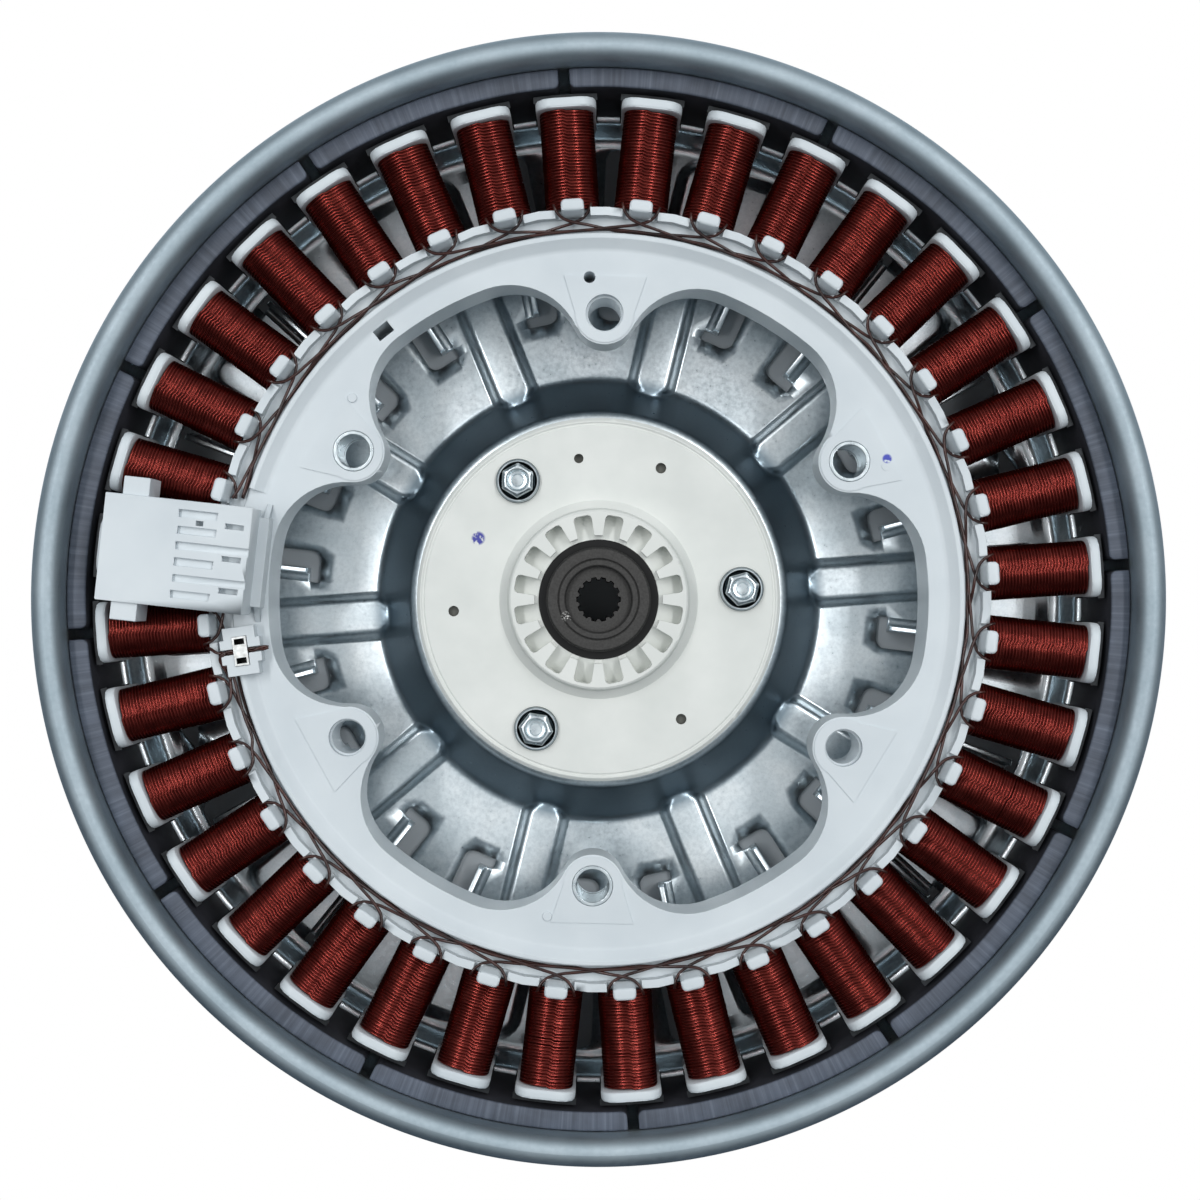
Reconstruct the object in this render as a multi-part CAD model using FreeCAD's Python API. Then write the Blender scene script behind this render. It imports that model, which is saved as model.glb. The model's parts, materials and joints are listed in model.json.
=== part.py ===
import FreeCAD, Part
import math
import os

# Outer-rotor motor of a direct-drive washing machine: a wound stator nested in its magnet rotor.
# The axis is Z, the rotor's back rests on z = 0 and its open side faces up. Sizes are millimetres.

V = FreeCAD.Vector
ORIGIN = V(0, 0, 0)
UP = V(0, 0, 1)
FULL_TURN = 360.0

# Sheet steel rotor cup
rotor_radius = 145.0
rotor_height = 48.0
sheet = 1.6
curl_radius = 3.75
curl_leg = 4.2
ledge_height = 10.0
ledge_width = 6.5
ledge_slope = 2.6
plate_height = 20.6
plate_radius = 50.0
cone_foot_radius = 61.0
plate_hole_radius = 27.0
floor_bend = 3.0
ledge_bend = 1.9
rim_tolerance = 0.01
cone_bend = 3.4

# Ribs and vents pressed into the cup's floor
rib_count = 10
rib_angle = 4.2
rib_width = 13.3
rib_height = 5.5
rib_draft = 1.5
rib_shoulder = 0.62
rib_start_radius = 56.0
rib_end_margin = 3.0
rib_crown_inset = 3.4
rib_end_chords = 4
vent_spread = 7.2
vent_width = 8.8
vent_start_radius = 78.0
vent_end_margin = 2.6
vent_corner = 1.2
fin_offset = 1.3
fin_rise = 5.7
fin_bend = 1.0
fin_relief = 3.0
locating_hole_radius = 4.0
locating_hole_margin = 8.6

# Magnets bonded to the cup's wall
magnet_count = 12
magnet_angle = 18.8
magnet_thickness = 5.0
magnet_height = 30.0
magnet_gap = 2.8
magnet_chamfer = 1.3
bond_gap = 0.1

# Moulded hub, its bolts and the splined bush
hub_radius = 48.6
hub_thickness = 3.6
hub_groove_radius = 46.9
hub_groove_depth = 0.5
hub_groove_round = 0.2
hub_edge_round = 0.9
hub_ring_round = 0.5
hub_ring_radius = 23.6
hub_ring_height = 9.4
hub_foot_fillet = 2.2
hub_tail_base = 4.0
hub_tail_clearance = 0.3
hub_tail_round = 0.8
pocket_count = 16
pocket_angle = 101.25
pocket_outer_radius = 22.4
pocket_outer_width = 4.9
pocket_inner_width = 4.3
pocket_corner = 1.0
pocket_depth = 6.0
pocket_inner_depth = 2.8
bush_channel_radius = 16.9
bush_channel_depth = 2.6
hub_bolt_count = 3
hub_bolt_inset = 10.4
hub_bolt_angle = 4.2
hub_bolt_radius = 2.5
hub_bolt_clearance = 0.25
bolt_flange_radius = 5.9
bolt_flange_thickness = 1.4
bolt_hex_size = 8.0
bolt_head_height = 4.6
bolt_dish_radius = 3.4
bolt_dish_depth = 1.3
bolt_flange_crown = 0.8
bolt_flange_round = 0.5
bolt_crown_drop = 0.3
bolt_end_chamfer = 0.4
nut_size = 8.0
nut_flange_radius = 5.6
nut_flange_thickness = 1.2
nut_height = 5.0
bolt_tip = 1.5
gate_hole_radius = 1.4
gate_hole_inset = 9.8
gate_hole_angle = 64.6
gate_hole_depth = 2.0
pin_hole_radius = 1.25
pin_hole_inset = 10.6
pin_hole_angle = 98.0
pin_hole_depth = 2.4
bush_radius = 15.9
bush_face_radius = 13.8
bush_shoulder_drop = 2.4
bush_proud = 1.2
bush_base = 3.2
bush_groove_radius = 10.6
bush_groove_depth = 0.3
bush_counterbore_radius = 8.6
bush_counterbore_depth = 2.2
pilot_radius = 6.4
pilot_depth = 6.0
spline_count = 14
spline_root_radius = 5.9
spline_tip_radius = 5.2
spline_root_share = 0.22
spline_tip_share = 0.36
bush_edge = 0.5

# Laminated stator core
coil_count = 36
coil_angle = 3.8
air_gap = 0.9
core_base = 15.0
core_height = 22.0
tooth_length = 31.0
yoke_width = 6.5
tooth_width = 7.0
shoe_thickness = 2.0
shoe_width = 16.6

# Moulded insulation round the core
insulation = 1.0
fit_gap = 0.05
flange_thickness = 2.5
flange_width = 15.5
flange_rise = 5.0
flange_corner = 4.2
slot_wall_thickness = 2.2
slot_wall_rise = 3.2
slot_notch_width = 1.7
slot_notch_depth = 1.9
ramp_length = 5.2
ramp_rise = 1.5
peg_width = 5.6
peg_thickness = 2.7
peg_reach = 1.6
peg_neck = 4.3
peg_hook_rise = 0.3
peg_rise = 9.0
peg_round = 1.2
channel_rise = 1.2
wire_channel_width = 3.9
kerb_width = 1.4
kerb_round = 0.4
kerb_foot_round = 0.3
kerb_rise = 4.0
kerb_gap_start = 162.3
kerb_gap_finish = 191.0
kerb_gap_step = 4.1
kerb_gap_margin = 1.5
deck_rise = 2.0
deck_margin = 1.5
deck_edge_round = 2.0
deck_lap = 1.0
deck_thickness = 2.2
deck_width = 5.1
ring_wall = 2.0
lower_rise = 1.6

# Mounting bosses of the stator
boss_count = 6
boss_angle = 28.8
boss_inset = 16.4
boss_radius = 8.1
boss_fillet = 19.0
boss_lower_inset = 0.7
boss_lower_depth = 3.4
boss_hole_radius = 4.28
steel_bush_wall = 0.95
steel_bush_count = 3
counterbore_step = 0.55
counterbore_depth = 2.0
deck_window_angle = 128.7
deck_window_length = 4.6
deck_window_width = 3.0
deck_hole_angle = 91.6
deck_hole_radius = 1.5
deck_hole_inset = 2.0
deck_pip_radius = 1.2
deck_pip_rise = 0.5
deck_pips = ((140.7, 8.2), (24.9, 8.5), (260.8, 7.5))
pad_rise = 0.35
pad_nose_radius = 7.6
pad_far_half = 10.7
pad_reach = 9.6

# Windings
coil_width = 14.2
coil_end_gap = 0.15
coil_corner = 4.4
coil_overhang = 3.1
coil_bore_gap = 0.1
phase_count = 3

# Plug housing and star point
plug_angle = 173.8
plug_width = 27.0
plug_inner_inset = 2.1
plug_end_gap = 1.55
plug_base_rise = 5.6
plug_height = 12.0
plug_wall = 2.0
plug_seat_inset = 4.7
plug_seat_width = 23.0
plug_seat_margin = 0.6
plug_wing_width = 4.6
plug_wing_length = 6.7
plug_wing_margin = 3.9
plug_gusset_inset = 4.2
plug_gusset_thickness = 1.5
plug_gusset_reach = 4.0
plug_cavity_depth = 21.0
plug_groove_count = 6
plug_groove_pitch = 4.05
plug_groove_width = 1.9
plug_groove_length = 18.2
plug_groove_depth = 1.2
plug_short_groove_length = 9.6
plug_long_grooves = (2, 4)
plug_window_start = 1.7
plug_window_length = 4.6
plug_window_width = 1.3
plug_window_depth = 3.0
plug_mark_start = 11.9
plug_mark_length = 1.9
tab_width = 6.3
tab_thickness = 0.8
tab_length = 17.0
tab_pitch = 7.6
star_angle = 188.2
star_gap = 0.75
star_frame_width = 12.5
star_frame_depth = 8.2
star_cross_width = 6.3
star_cross_depth = 10.4
star_frame_rise = 4.6
star_slot_width = 7.5
star_slot_depth = 3.7
star_clip_proud = 0.5
star_clip_pit_length = 1.5
star_clip_pit_margin = 0.5
star_clip_pit_depth = 3.0
star_wire_slot_width = 1.4
star_wire_slot_depth = 2.2

# Radii and heights that follow from the sizes above
wall_inner_radius = rotor_radius - 2 * curl_radius
ledge_radius = wall_inner_radius - ledge_width
magnet_outer_radius = wall_inner_radius - bond_gap
magnet_inner_radius = magnet_outer_radius - magnet_thickness
magnet_base = ledge_height + bond_gap
core_outer_radius = magnet_inner_radius - air_gap
shoe_inner_radius = core_outer_radius - shoe_thickness
yoke_outer_radius = shoe_inner_radius - tooth_length
yoke_inner_radius = yoke_outer_radius - yoke_width
deck_radius = yoke_inner_radius - deck_margin
ring_inner_radius = deck_radius - deck_width
boss_circle_radius = deck_radius - boss_inset
core_top = core_base + core_height
core_middle = core_base + core_height / 2
flange_outer_radius = shoe_inner_radius - fit_gap
flange_inner_radius = flange_outer_radius - flange_thickness
slot_wall_inner_radius = yoke_outer_radius + fit_gap
slot_wall_outer_radius = slot_wall_inner_radius + slot_wall_thickness
slot_wall_top = core_top + insulation + slot_wall_rise
kerb_radius = slot_wall_inner_radius - wire_channel_width - kerb_width / 2
plug_inner_radius = deck_radius - plug_inner_inset
plug_outer_radius = flange_inner_radius - plug_end_gap
plug_seat_radius = deck_radius - plug_seat_inset
plug_gusset_radius = deck_radius - plug_gusset_inset
star_radius = slot_wall_inner_radius - star_gap - star_cross_depth / 2
channel_top = core_top + channel_rise
kerb_top = core_top + kerb_rise
deck_top = core_top + deck_rise
peg_top = core_top + peg_rise
flange_top = core_top + flange_rise
flange_base = core_base - flange_rise
floor_end_radius = ledge_radius - ledge_slope
hub_top = plate_height + hub_thickness
hub_bolt_circle_radius = hub_radius - hub_bolt_inset
gate_hole_circle_radius = hub_radius - gate_hole_inset
pin_hole_circle_radius = hub_radius - pin_hole_inset
ring_top = plate_height + hub_ring_height
bush_top = ring_top + bush_proud
steel_bush_radius = boss_hole_radius + steel_bush_wall
hub_tail_radius = plate_hole_radius - hub_tail_clearance


def at(radius, degrees, height=0.0):
    """A point at a radius, an angle round the axis and a height."""
    turn = math.radians(degrees)
    return V(radius * math.cos(turn), radius * math.sin(turn), height)


def turned(shape, degrees):
    """A copy of the shape turned round the motor's axis."""
    copy = shape.copy()
    copy.rotate(ORIGIN, UP, degrees)
    return copy


def rounded_wire(corners, chords=0):
    """A closed wire through corners (x, y, round): straight runs joined by tangent arcs.

    With chords given, each arc is that many straight chords, which keeps what repeats light."""
    count = len(corners)
    ends = []
    for index in range(count):
        x, y, round_radius = corners[index]
        corner = V(x, y, 0)
        before = V(*corners[index - 1][:2], 0) - corner
        after = V(*corners[(index + 1) % count][:2], 0) - corner
        before.normalize()
        after.normalize()
        if round_radius <= 0:
            ends.append((corner, None, corner))
            continue
        half = before.getAngle(after) / 2
        reach = round_radius / math.tan(half)
        middle = before + after
        middle.normalize()
        deep = corner + middle * (round_radius / math.sin(half) - round_radius)
        ends.append((corner + before * reach, deep, corner + after * reach))
    edges = []
    for index in range(count):
        start, deep, finish = ends[index]
        if deep is not None:
            arc = Part.Arc(start, deep, finish).toShape()
            if chords:
                points = arc.discretize(chords + 1)
                edges += [Part.LineSegment(a, b).toShape() for a, b in zip(points, points[1:])]
            else:
                edges.append(arc)
        following = ends[(index + 1) % count][0]
        if finish.distanceToPoint(following) > 1e-6:
            edges.append(Part.LineSegment(finish, following).toShape())
    return Part.Wire(edges)


def plate(corners, base, height, chords=0):
    """A plate with a rounded outline, from its base up."""
    shape = Part.Face(rounded_wire(corners, chords)).extrude(V(0, 0, height))
    shape.translate(V(0, 0, base))
    return shape


def turned_profile(corners, chords=1):
    """A full turn of a closed profile whose corners are (radius, height, round)."""
    face = Part.Face(rounded_wire(corners, chords))
    face.rotate(ORIGIN, V(1, 0, 0), 90)
    return face.revolve(ORIGIN, UP, FULL_TURN)


def sheet_corners(path, thickness):
    """The outline of a bent sheet: a path of (x, y, bend) and its parallel to the right of it."""
    count = len(path)
    normals = []
    for index in range(count - 1):
        run = V(path[index + 1][0] - path[index][0], path[index + 1][1] - path[index][1], 0)
        run.normalize()
        normals.append(V(run.y, -run.x, 0))
    back = []
    for index in range(count):
        first = normals[max(index - 1, 0)]
        second = normals[min(index, count - 2)]
        mitre = first + second
        shift = mitre * (2 * thickness / mitre.dot(mitre))
        bend = path[index][2]
        if bend > 0:
            turns_left = first.cross(second).z > 0
            bend = bend + thickness if turns_left else max(bend - thickness, 0.0)
        back.append((path[index][0] + shift.x, path[index][1] + shift.y, bend))
    return list(path) + back[::-1]


def tube(outer, inner, base, height):
    """A round tube standing on its base."""
    body = Part.makeCylinder(outer, height, V(0, 0, base))
    return body.cut(Part.makeCylinder(inner, height, V(0, 0, base)))


def bar(inner, outer, width, base, height, degrees, offset=0.0):
    """A straight bar that runs outwards along a radius, shifted sideways by the offset."""
    block = Part.makeBox(outer - inner, width, height, V(inner, offset - width / 2, base))
    return turned(block, degrees)


def joined(shapes):
    """One solid made of shapes that meet."""
    whole = shapes[0].fuse(shapes[1:])
    return whole.removeSplitter()


def post(radius, base, height, circle_radius, degrees):
    """A round post or hole at a place on a circle round the axis."""
    return Part.makeCylinder(radius, height, at(circle_radius, degrees, base))


def each(count, first):
    """The angles of a number of equal steps round the axis."""
    return [first + FULL_TURN * index / count for index in range(count)]


# Rotor

def cup_sheet():
    """The pressed cup: hub plate, cone, floor, magnet ledge, wall and rolled rim in one sheet."""
    rim_leg = rotor_height - curl_radius - curl_leg
    rim_round = curl_radius - rim_tolerance
    path = [
        (plate_hole_radius, plate_height, 0.0),
        (plate_radius, plate_height, cone_bend),
        (cone_foot_radius, sheet, floor_bend),
        (floor_end_radius, sheet, floor_bend),
        (ledge_radius, ledge_height, ledge_bend),
        (wall_inner_radius, ledge_height, 0.0),
        (wall_inner_radius, rotor_height, rim_round),
        (rotor_radius, rotor_height, rim_round),
        (rotor_radius, rim_leg, 0.0),
    ]
    return turned_profile(sheet_corners(path, sheet))


def rib(shrink, drop):
    """A pressed rib with a rounded section and round ends, made smaller and lower by the two values.

    Three round-ended outlines, each smaller and higher than the last, are joined by straight walls."""
    foot_half = rib_width / 2 - shrink
    start = rib_start_radius + shrink
    finish = floor_end_radius - rib_end_margin - shrink
    level = sheet - drop
    near = start + foot_half
    far = finish - foot_half
    outlines = []
    for inset, rise in ((0.0, 0.0), (rib_draft, rib_shoulder * rib_height), (rib_crown_inset, rib_height)):
        half = foot_half - inset
        outline = []
        for middle, first in ((far, -90.0), (near, 90.0)):
            for index in range(rib_end_chords + 1):
                turn = math.radians(first + 180.0 * index / rib_end_chords)
                outline.append(V(middle + half * math.cos(turn), half * math.sin(turn), level + rise))
        outlines.append(outline)
    return stacked(outlines)


def stacked(outlines):
    """A flat-faced solid through outlines with the same number of corners, from the lowest up."""
    faces = [Part.Face(Part.makePolygon(outline + outline[:1])) for outline in (outlines[0], outlines[-1])]
    count = len(outlines[0])
    for lower, upper in zip(outlines, outlines[1:]):
        for index in range(count):
            following = (index + 1) % count
            loop = [lower[index], lower[following], upper[following], upper[index], lower[index]]
            faces.append(Part.Face(Part.makePolygon(loop)))
    solid = Part.makeSolid(Part.makeShell(faces))
    solid.fix(fit_gap, fit_gap, fit_gap)
    return solid


def vent_window(side):
    """The opening that the fin was bent out of, with a relief notch at each end of the bend."""
    start = vent_start_radius
    finish = floor_end_radius - vent_end_margin
    edge = fin_offset - sheet / 2
    half = vent_width / 2
    corners = [
        (start, -half, vent_corner),
        (finish, -half, vent_corner),
        (finish, half, 0.0),
        (finish - fin_relief, half, 0.0),
        (finish - fin_relief, edge, 0.0),
        (start + fin_relief, edge, 0.0),
        (start + fin_relief, half, 0.0),
        (start, half, 0.0),
    ]
    window = plate(corners, -sheet, 3 * sheet, 1)
    if side < 0:
        window = window.mirror(ORIGIN, V(0, 1, 0))
    return window


def vent_fin(side):
    """The fin: the window's flap, bent up square along its edge."""
    face_line = fin_offset + sheet / 2
    path = [
        (face_line, sheet + fin_rise, 0.0),
        (face_line, sheet, fin_bend),
        (vent_width / 2, sheet, 0.0),
    ]
    outline = Part.Face(rounded_wire(sheet_corners(path, sheet), 1))
    length = floor_end_radius - vent_end_margin - vent_start_radius - 2 * fin_relief
    fin = outline.extrude(V(0, 0, length))
    fin.rotate(ORIGIN, V(1, 0, 0), 90)
    fin.rotate(ORIGIN, UP, 90)
    fin.translate(V(vent_start_radius + fin_relief, 0, 0))
    if side < 0:
        fin = fin.mirror(ORIGIN, V(0, 1, 0))
    return fin


def rotor_frame():
    """The cup with its ribs, vents, fins, locating holes and bolt holes."""
    sector_step = FULL_TURN / rib_count
    crowns = []
    hollows = []
    windows = []
    fins = []
    for rib_at in each(rib_count, rib_angle):
        crowns.append(turned(rib(0.0, 0.0), rib_at))
        hollows.append(turned(rib(sheet, sheet), rib_at))
        middle = rib_at + sector_step / 2
        for side in (1, -1):
            windows.append(turned(vent_window(side), middle + side * vent_spread))
            fins.append(turned(vent_fin(side), middle + side * vent_spread))
    hole_circle = floor_end_radius - locating_hole_margin
    first_hole = rib_angle + sector_step / 2
    holes = [post(locating_hole_radius, -sheet, 3 * sheet, hole_circle, a) for a in each(2, first_hole)]
    bolt_hole = hub_bolt_radius + hub_bolt_clearance
    for angle in each(hub_bolt_count, hub_bolt_angle):
        holes.append(post(bolt_hole, 0.0, rotor_height, hub_bolt_circle_radius, angle))
    cup = joined([cup_sheet()] + crowns)
    cup = cup.cut(hollows + windows + holes)
    return joined([cup] + fins)


def magnet(degrees):
    """One curved block magnet with bevelled edges on its inner face."""
    block = arc_magnet()
    return turned(block, degrees)


def arc_magnet():
    """A magnet centred on +X: a sector of the ring with a parallel gap to each neighbour."""
    half = 180.0 / magnet_count
    outer_half = half - math.degrees(math.asin(magnet_gap / 2 / magnet_outer_radius))
    inner_half = half - math.degrees(math.asin(magnet_gap / 2 / magnet_inner_radius))
    bevel = math.degrees(magnet_chamfer / magnet_inner_radius)
    side_radius = magnet_inner_radius + magnet_chamfer
    edges = [
        Part.Arc(at(magnet_outer_radius, -outer_half), at(magnet_outer_radius, 0),
                 at(magnet_outer_radius, outer_half)).toShape(),
        Part.LineSegment(at(magnet_outer_radius, outer_half), at(side_radius, inner_half)).toShape(),
        Part.LineSegment(at(side_radius, inner_half), at(magnet_inner_radius, inner_half - bevel)).toShape(),
        Part.Arc(at(magnet_inner_radius, inner_half - bevel), at(magnet_inner_radius, 0),
                 at(magnet_inner_radius, bevel - inner_half)).toShape(),
        Part.LineSegment(at(magnet_inner_radius, bevel - inner_half), at(side_radius, -inner_half)).toShape(),
        Part.LineSegment(at(side_radius, -inner_half), at(magnet_outer_radius, -outer_half)).toShape(),
    ]
    block = Part.Face(Part.Wire(edges)).extrude(V(0, 0, magnet_height))
    block.translate(V(0, 0, magnet_base))
    return block


def hub_pocket():
    """One pocket of the hub's ring: rounded outside, open to the bush, with a floor that rises inwards."""
    outer_half = pocket_outer_width / 2
    inner_half = pocket_inner_width / 2
    plan = [(bush_radius, -inner_half, 0.0), (pocket_outer_radius, -outer_half, pocket_corner),
            (pocket_outer_radius, outer_half, pocket_corner), (bush_radius, inner_half, 0.0)]
    above = ring_top + pocket_depth
    side = [(bush_radius, ring_top - pocket_inner_depth), (pocket_outer_radius, ring_top - pocket_depth),
            (pocket_outer_radius, above), (bush_radius, above)]
    room = Part.Face(Part.makePolygon([V(r, -outer_half, z) for r, z in side + side[:1]]))
    room = room.extrude(V(0, pocket_outer_width, 0))
    return room.common(plate(plan, ring_top - pocket_depth, 2 * pocket_depth, 2))


def rotor_hub():
    """The moulded hub: a disc on the cup's plate, a ring of pockets and a tail through the plate."""
    groove = hub_groove_depth
    profile = [
        (bush_radius, hub_tail_base, 0.0),
        (hub_tail_radius, hub_tail_base, hub_tail_round),
        (hub_tail_radius, plate_height, 0.0),
        (hub_radius, plate_height, 0.0),
        (hub_radius, hub_top, hub_edge_round),
        (hub_groove_radius + groove, hub_top, hub_groove_round),
        (hub_groove_radius, hub_top - groove, hub_groove_round),
        (hub_groove_radius - groove, hub_top, hub_groove_round),
        (hub_ring_radius + hub_foot_fillet / 2, hub_top, hub_foot_fillet),
        (hub_ring_radius, ring_top, hub_ring_round),
        (bush_radius, ring_top, 0.0),
    ]
    hub = turned_profile(profile)
    pocket = hub_pocket()
    cuts = [turned(pocket, angle) for angle in each(pocket_count, pocket_angle)]
    channel_base = ring_top - bush_channel_depth
    cuts.append(tube(bush_channel_radius, bush_radius, channel_base, 2 * bush_channel_depth))
    bolt_hole = hub_bolt_radius + hub_bolt_clearance
    for angle in each(hub_bolt_count, hub_bolt_angle):
        cuts.append(post(bolt_hole, 0.0, rotor_height, hub_bolt_circle_radius, angle))
    for angle in each(hub_bolt_count, gate_hole_angle):
        gate_base = hub_top - gate_hole_depth
        cuts.append(post(gate_hole_radius, gate_base, hub_thickness, gate_hole_circle_radius, angle))
    pin_base = hub_top - pin_hole_depth
    cuts.append(post(pin_hole_radius, pin_base, hub_thickness, pin_hole_circle_radius, pin_hole_angle))
    return hub.cut(cuts)


def spline_outline():
    """The bore's outline: a tooth and a gap in each step, with straight flanks."""
    step = FULL_TURN / spline_count
    corners = []
    for angle in each(spline_count, 0.0):
        for radius, share in ((spline_root_radius, -spline_root_share), (spline_root_radius, spline_root_share),
                              (spline_tip_radius, spline_tip_share), (spline_tip_radius, 1 - spline_tip_share)):
            p = at(radius, angle + share * step)
            corners.append((p.x, p.y, 0.0))
    return corners


def spline_bush():
    """The steel bush: shoulder, face, counterbore, splined bore and a round pilot at the back."""
    shoulder = ring_top - bush_shoulder_drop
    profile = [
        (pilot_radius, bush_base, bush_edge),
        (bush_radius, bush_base, bush_edge),
        (bush_radius, shoulder, 0.0),
        (bush_face_radius, shoulder, 0.0),
        (bush_face_radius, bush_top, bush_edge),
        (bush_groove_radius + bush_groove_depth, bush_top, 0.0),
        (bush_groove_radius, bush_top - bush_groove_depth, 0.0),
        (bush_groove_radius - bush_groove_depth, bush_top, 0.0),
        (bush_counterbore_radius, bush_top, bush_edge),
        (bush_counterbore_radius, bush_top - bush_counterbore_depth, 0.0),
        (spline_tip_radius / 2, bush_top - bush_counterbore_depth, 0.0),
        (spline_tip_radius / 2, bush_base + pilot_depth, 0.0),
        (pilot_radius, bush_base + pilot_depth, 0.0),
    ]
    body = turned_profile(profile)
    return body.cut(plate(spline_outline(), 0.0, rotor_height))


def hexagon(size, base, height):
    """A hexagonal prism of a width across flats."""
    corner = size / 2 / math.cos(math.radians(30))
    points = [at(corner, angle) for angle in each(6, 0.0)]
    return plate([(p.x, p.y, 0.0) for p in points], base, height)


def hub_bolt(degrees):
    """A flanged hexagon bolt through the hub and the cup's plate."""
    tip = plate_height - sheet - nut_flange_thickness - nut_height - bolt_tip
    dish = [
        (0.0, tip, 0.0),
        (hub_bolt_radius, tip, bolt_end_chamfer),
        (hub_bolt_radius, hub_top, 0.0),
        (bolt_flange_radius, hub_top, 0.0),
        (bolt_flange_radius, hub_top + bolt_flange_thickness, bolt_flange_round),
        (0.0, hub_top + bolt_flange_thickness + bolt_flange_crown, 0.0),
    ]
    lower = turned_profile(dish)
    head = hexagon(bolt_hex_size, hub_top, bolt_head_height)
    crown_height = bolt_head_height + bolt_crown_drop
    crown = Part.makeCone(bolt_hex_size / 2 + bolt_head_height, bolt_hex_size / 2 - bolt_crown_drop,
                          crown_height, V(0, 0, hub_top))
    recess = Part.makeCylinder(bolt_dish_radius, bolt_dish_depth * 2,
                               V(0, 0, hub_top + bolt_head_height - bolt_dish_depth))
    bolt = joined([lower, head.common(crown)]).cut(recess)
    bolt.translate(V(hub_bolt_circle_radius, 0, 0))
    return turned(bolt, degrees)


def hub_nut(degrees):
    """A flanged hexagon nut on the back of the plate."""
    seat = plate_height - sheet
    flange = Part.makeCylinder(nut_flange_radius, nut_flange_thickness, V(0, 0, seat - nut_flange_thickness))
    body = hexagon(nut_size, seat - nut_flange_thickness - nut_height, nut_height)
    nut = joined([flange, body]).cut(Part.makeCylinder(hub_bolt_radius + fit_gap, rotor_height))
    nut.translate(V(hub_bolt_circle_radius, 0, 0))
    return turned(nut, degrees)


# Stator

def stator_core():
    """The laminated core: a yoke ring with a tooth for each coil, and a shoe with a round face on each."""
    step = FULL_TURN / coil_count
    shoe_half = math.degrees(math.asin(shoe_width / 2 / core_outer_radius))
    neck_half = math.degrees(math.asin(tooth_width / 2 / yoke_outer_radius))
    back = shoe_inner_radius
    edges = []
    for angle in each(coil_count, coil_angle):
        tip_right = at(core_outer_radius, angle - shoe_half)
        tip_left = at(core_outer_radius, angle + shoe_half)
        edges.append(Part.Arc(tip_right, at(core_outer_radius, angle), tip_left).toShape())
        beyond = angle + step
        turn_points = [
            tip_left,
            across(back, shoe_width / 2, angle),
            across(back, tooth_width / 2, angle),
            at(yoke_outer_radius, angle + neck_half),
            at(yoke_outer_radius, beyond - neck_half),
            across(back, -tooth_width / 2, beyond),
            across(back, -shoe_width / 2, beyond),
            at(core_outer_radius, beyond - shoe_half),
        ]
        edges += [Part.LineSegment(p, q).toShape() for p, q in zip(turn_points, turn_points[1:])]
    outer = Part.Face(Part.Wire(edges))
    hole = Part.Face(Part.Wire([Part.Circle(ORIGIN, UP, yoke_inner_radius).toShape()]))
    core = outer.cut(hole).extrude(V(0, 0, core_height))
    core.translate(V(0, 0, core_base))
    return core


def across(forward, sideways, degrees):
    """A point a distance forward along a turned X axis and a distance to its left."""
    turn = math.radians(degrees)
    return V(forward * math.cos(turn) - sideways * math.sin(turn),
             forward * math.sin(turn) + sideways * math.cos(turn), 0)


def slot_wall_ring(base, height):
    """The flat-sided ring that walls off the coils from the wire channel: one flat for each coil."""
    prisms = []
    for reach in (slot_wall_outer_radius, slot_wall_inner_radius):
        corner = reach / math.cos(math.pi / coil_count)
        half_step = FULL_TURN / coil_count / 2
        points = [at(corner, angle) for angle in each(coil_count, coil_angle + half_step)]
        prisms.append(plate([(p.x, p.y, 0.0) for p in points], base, height))
    return prisms[0].cut(prisms[1])


def upright(corners, inner, outer, chords):
    """A block whose outline (sideways, height, round) stands square to the X axis between two radii."""
    block = Part.Face(rounded_wire(corners, chords)).extrude(V(0, 0, outer - inner))
    block.rotate(ORIGIN, V(1, 0, 0), 90)
    block.rotate(ORIGIN, UP, 90)
    block.translate(V(inner, 0, 0))
    return block


def slot_flange(base, top, upper):
    """The flat end wall of one coil with its two free corners rounded."""
    half = flange_width / 2
    round_up = flange_corner if upper else 0.0
    round_down = 0.0 if upper else flange_corner
    corners = [(-half, base, round_down), (half, base, round_down), (half, top, round_up), (-half, top, round_up)]
    return upright(corners, flange_inner_radius, flange_outer_radius, 3)


def upper_tooth():
    """One coil's share of the upper moulding: saddle, end wall and winding peg."""
    reach = fit_gap + insulation
    saddle_width = tooth_width + 2 * reach
    top = core_top + reach
    saddle = bar(slot_wall_inner_radius, flange_outer_radius, saddle_width, core_middle, top - core_middle, 0)
    return joined([saddle, slot_flange(core_middle, flange_top, True), winding_peg()])


def winding_peg():
    """The peg that a crossover wire is led round: its head leans out over the coil's first turns."""
    outer = slot_wall_outer_radius + peg_reach
    neck = core_top + peg_neck
    base = core_top + fit_gap
    side = [(slot_wall_inner_radius, base), (slot_wall_outer_radius, base), (slot_wall_outer_radius, neck),
            (outer, neck + peg_hook_rise), (outer, peg_top), (outer - peg_thickness, peg_top)]
    half = peg_width / 2
    column = Part.Face(Part.makePolygon([V(r, -half, z) for r, z in side + side[:1]]))
    column = column.extrude(V(0, peg_width, 0))
    plan = [(slot_wall_inner_radius, -half, peg_round), (outer, -half, peg_round),
            (outer, half, peg_round), (slot_wall_inner_radius, half, peg_round)]
    return column.common(plate(plan, base, peg_top, 1))


def wire_notches():
    """The notches beside each peg that a wire leaves the coil through."""
    cuts = []
    for side in (1, -1):
        offset = side * (peg_width + slot_notch_width) / 2
        cuts.append(bar(slot_wall_inner_radius - insulation, slot_wall_outer_radius + fit_gap, slot_notch_width,
                        slot_wall_top - slot_notch_depth, slot_notch_depth + ramp_rise + fit_gap, 0, offset))
    return cuts


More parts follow.
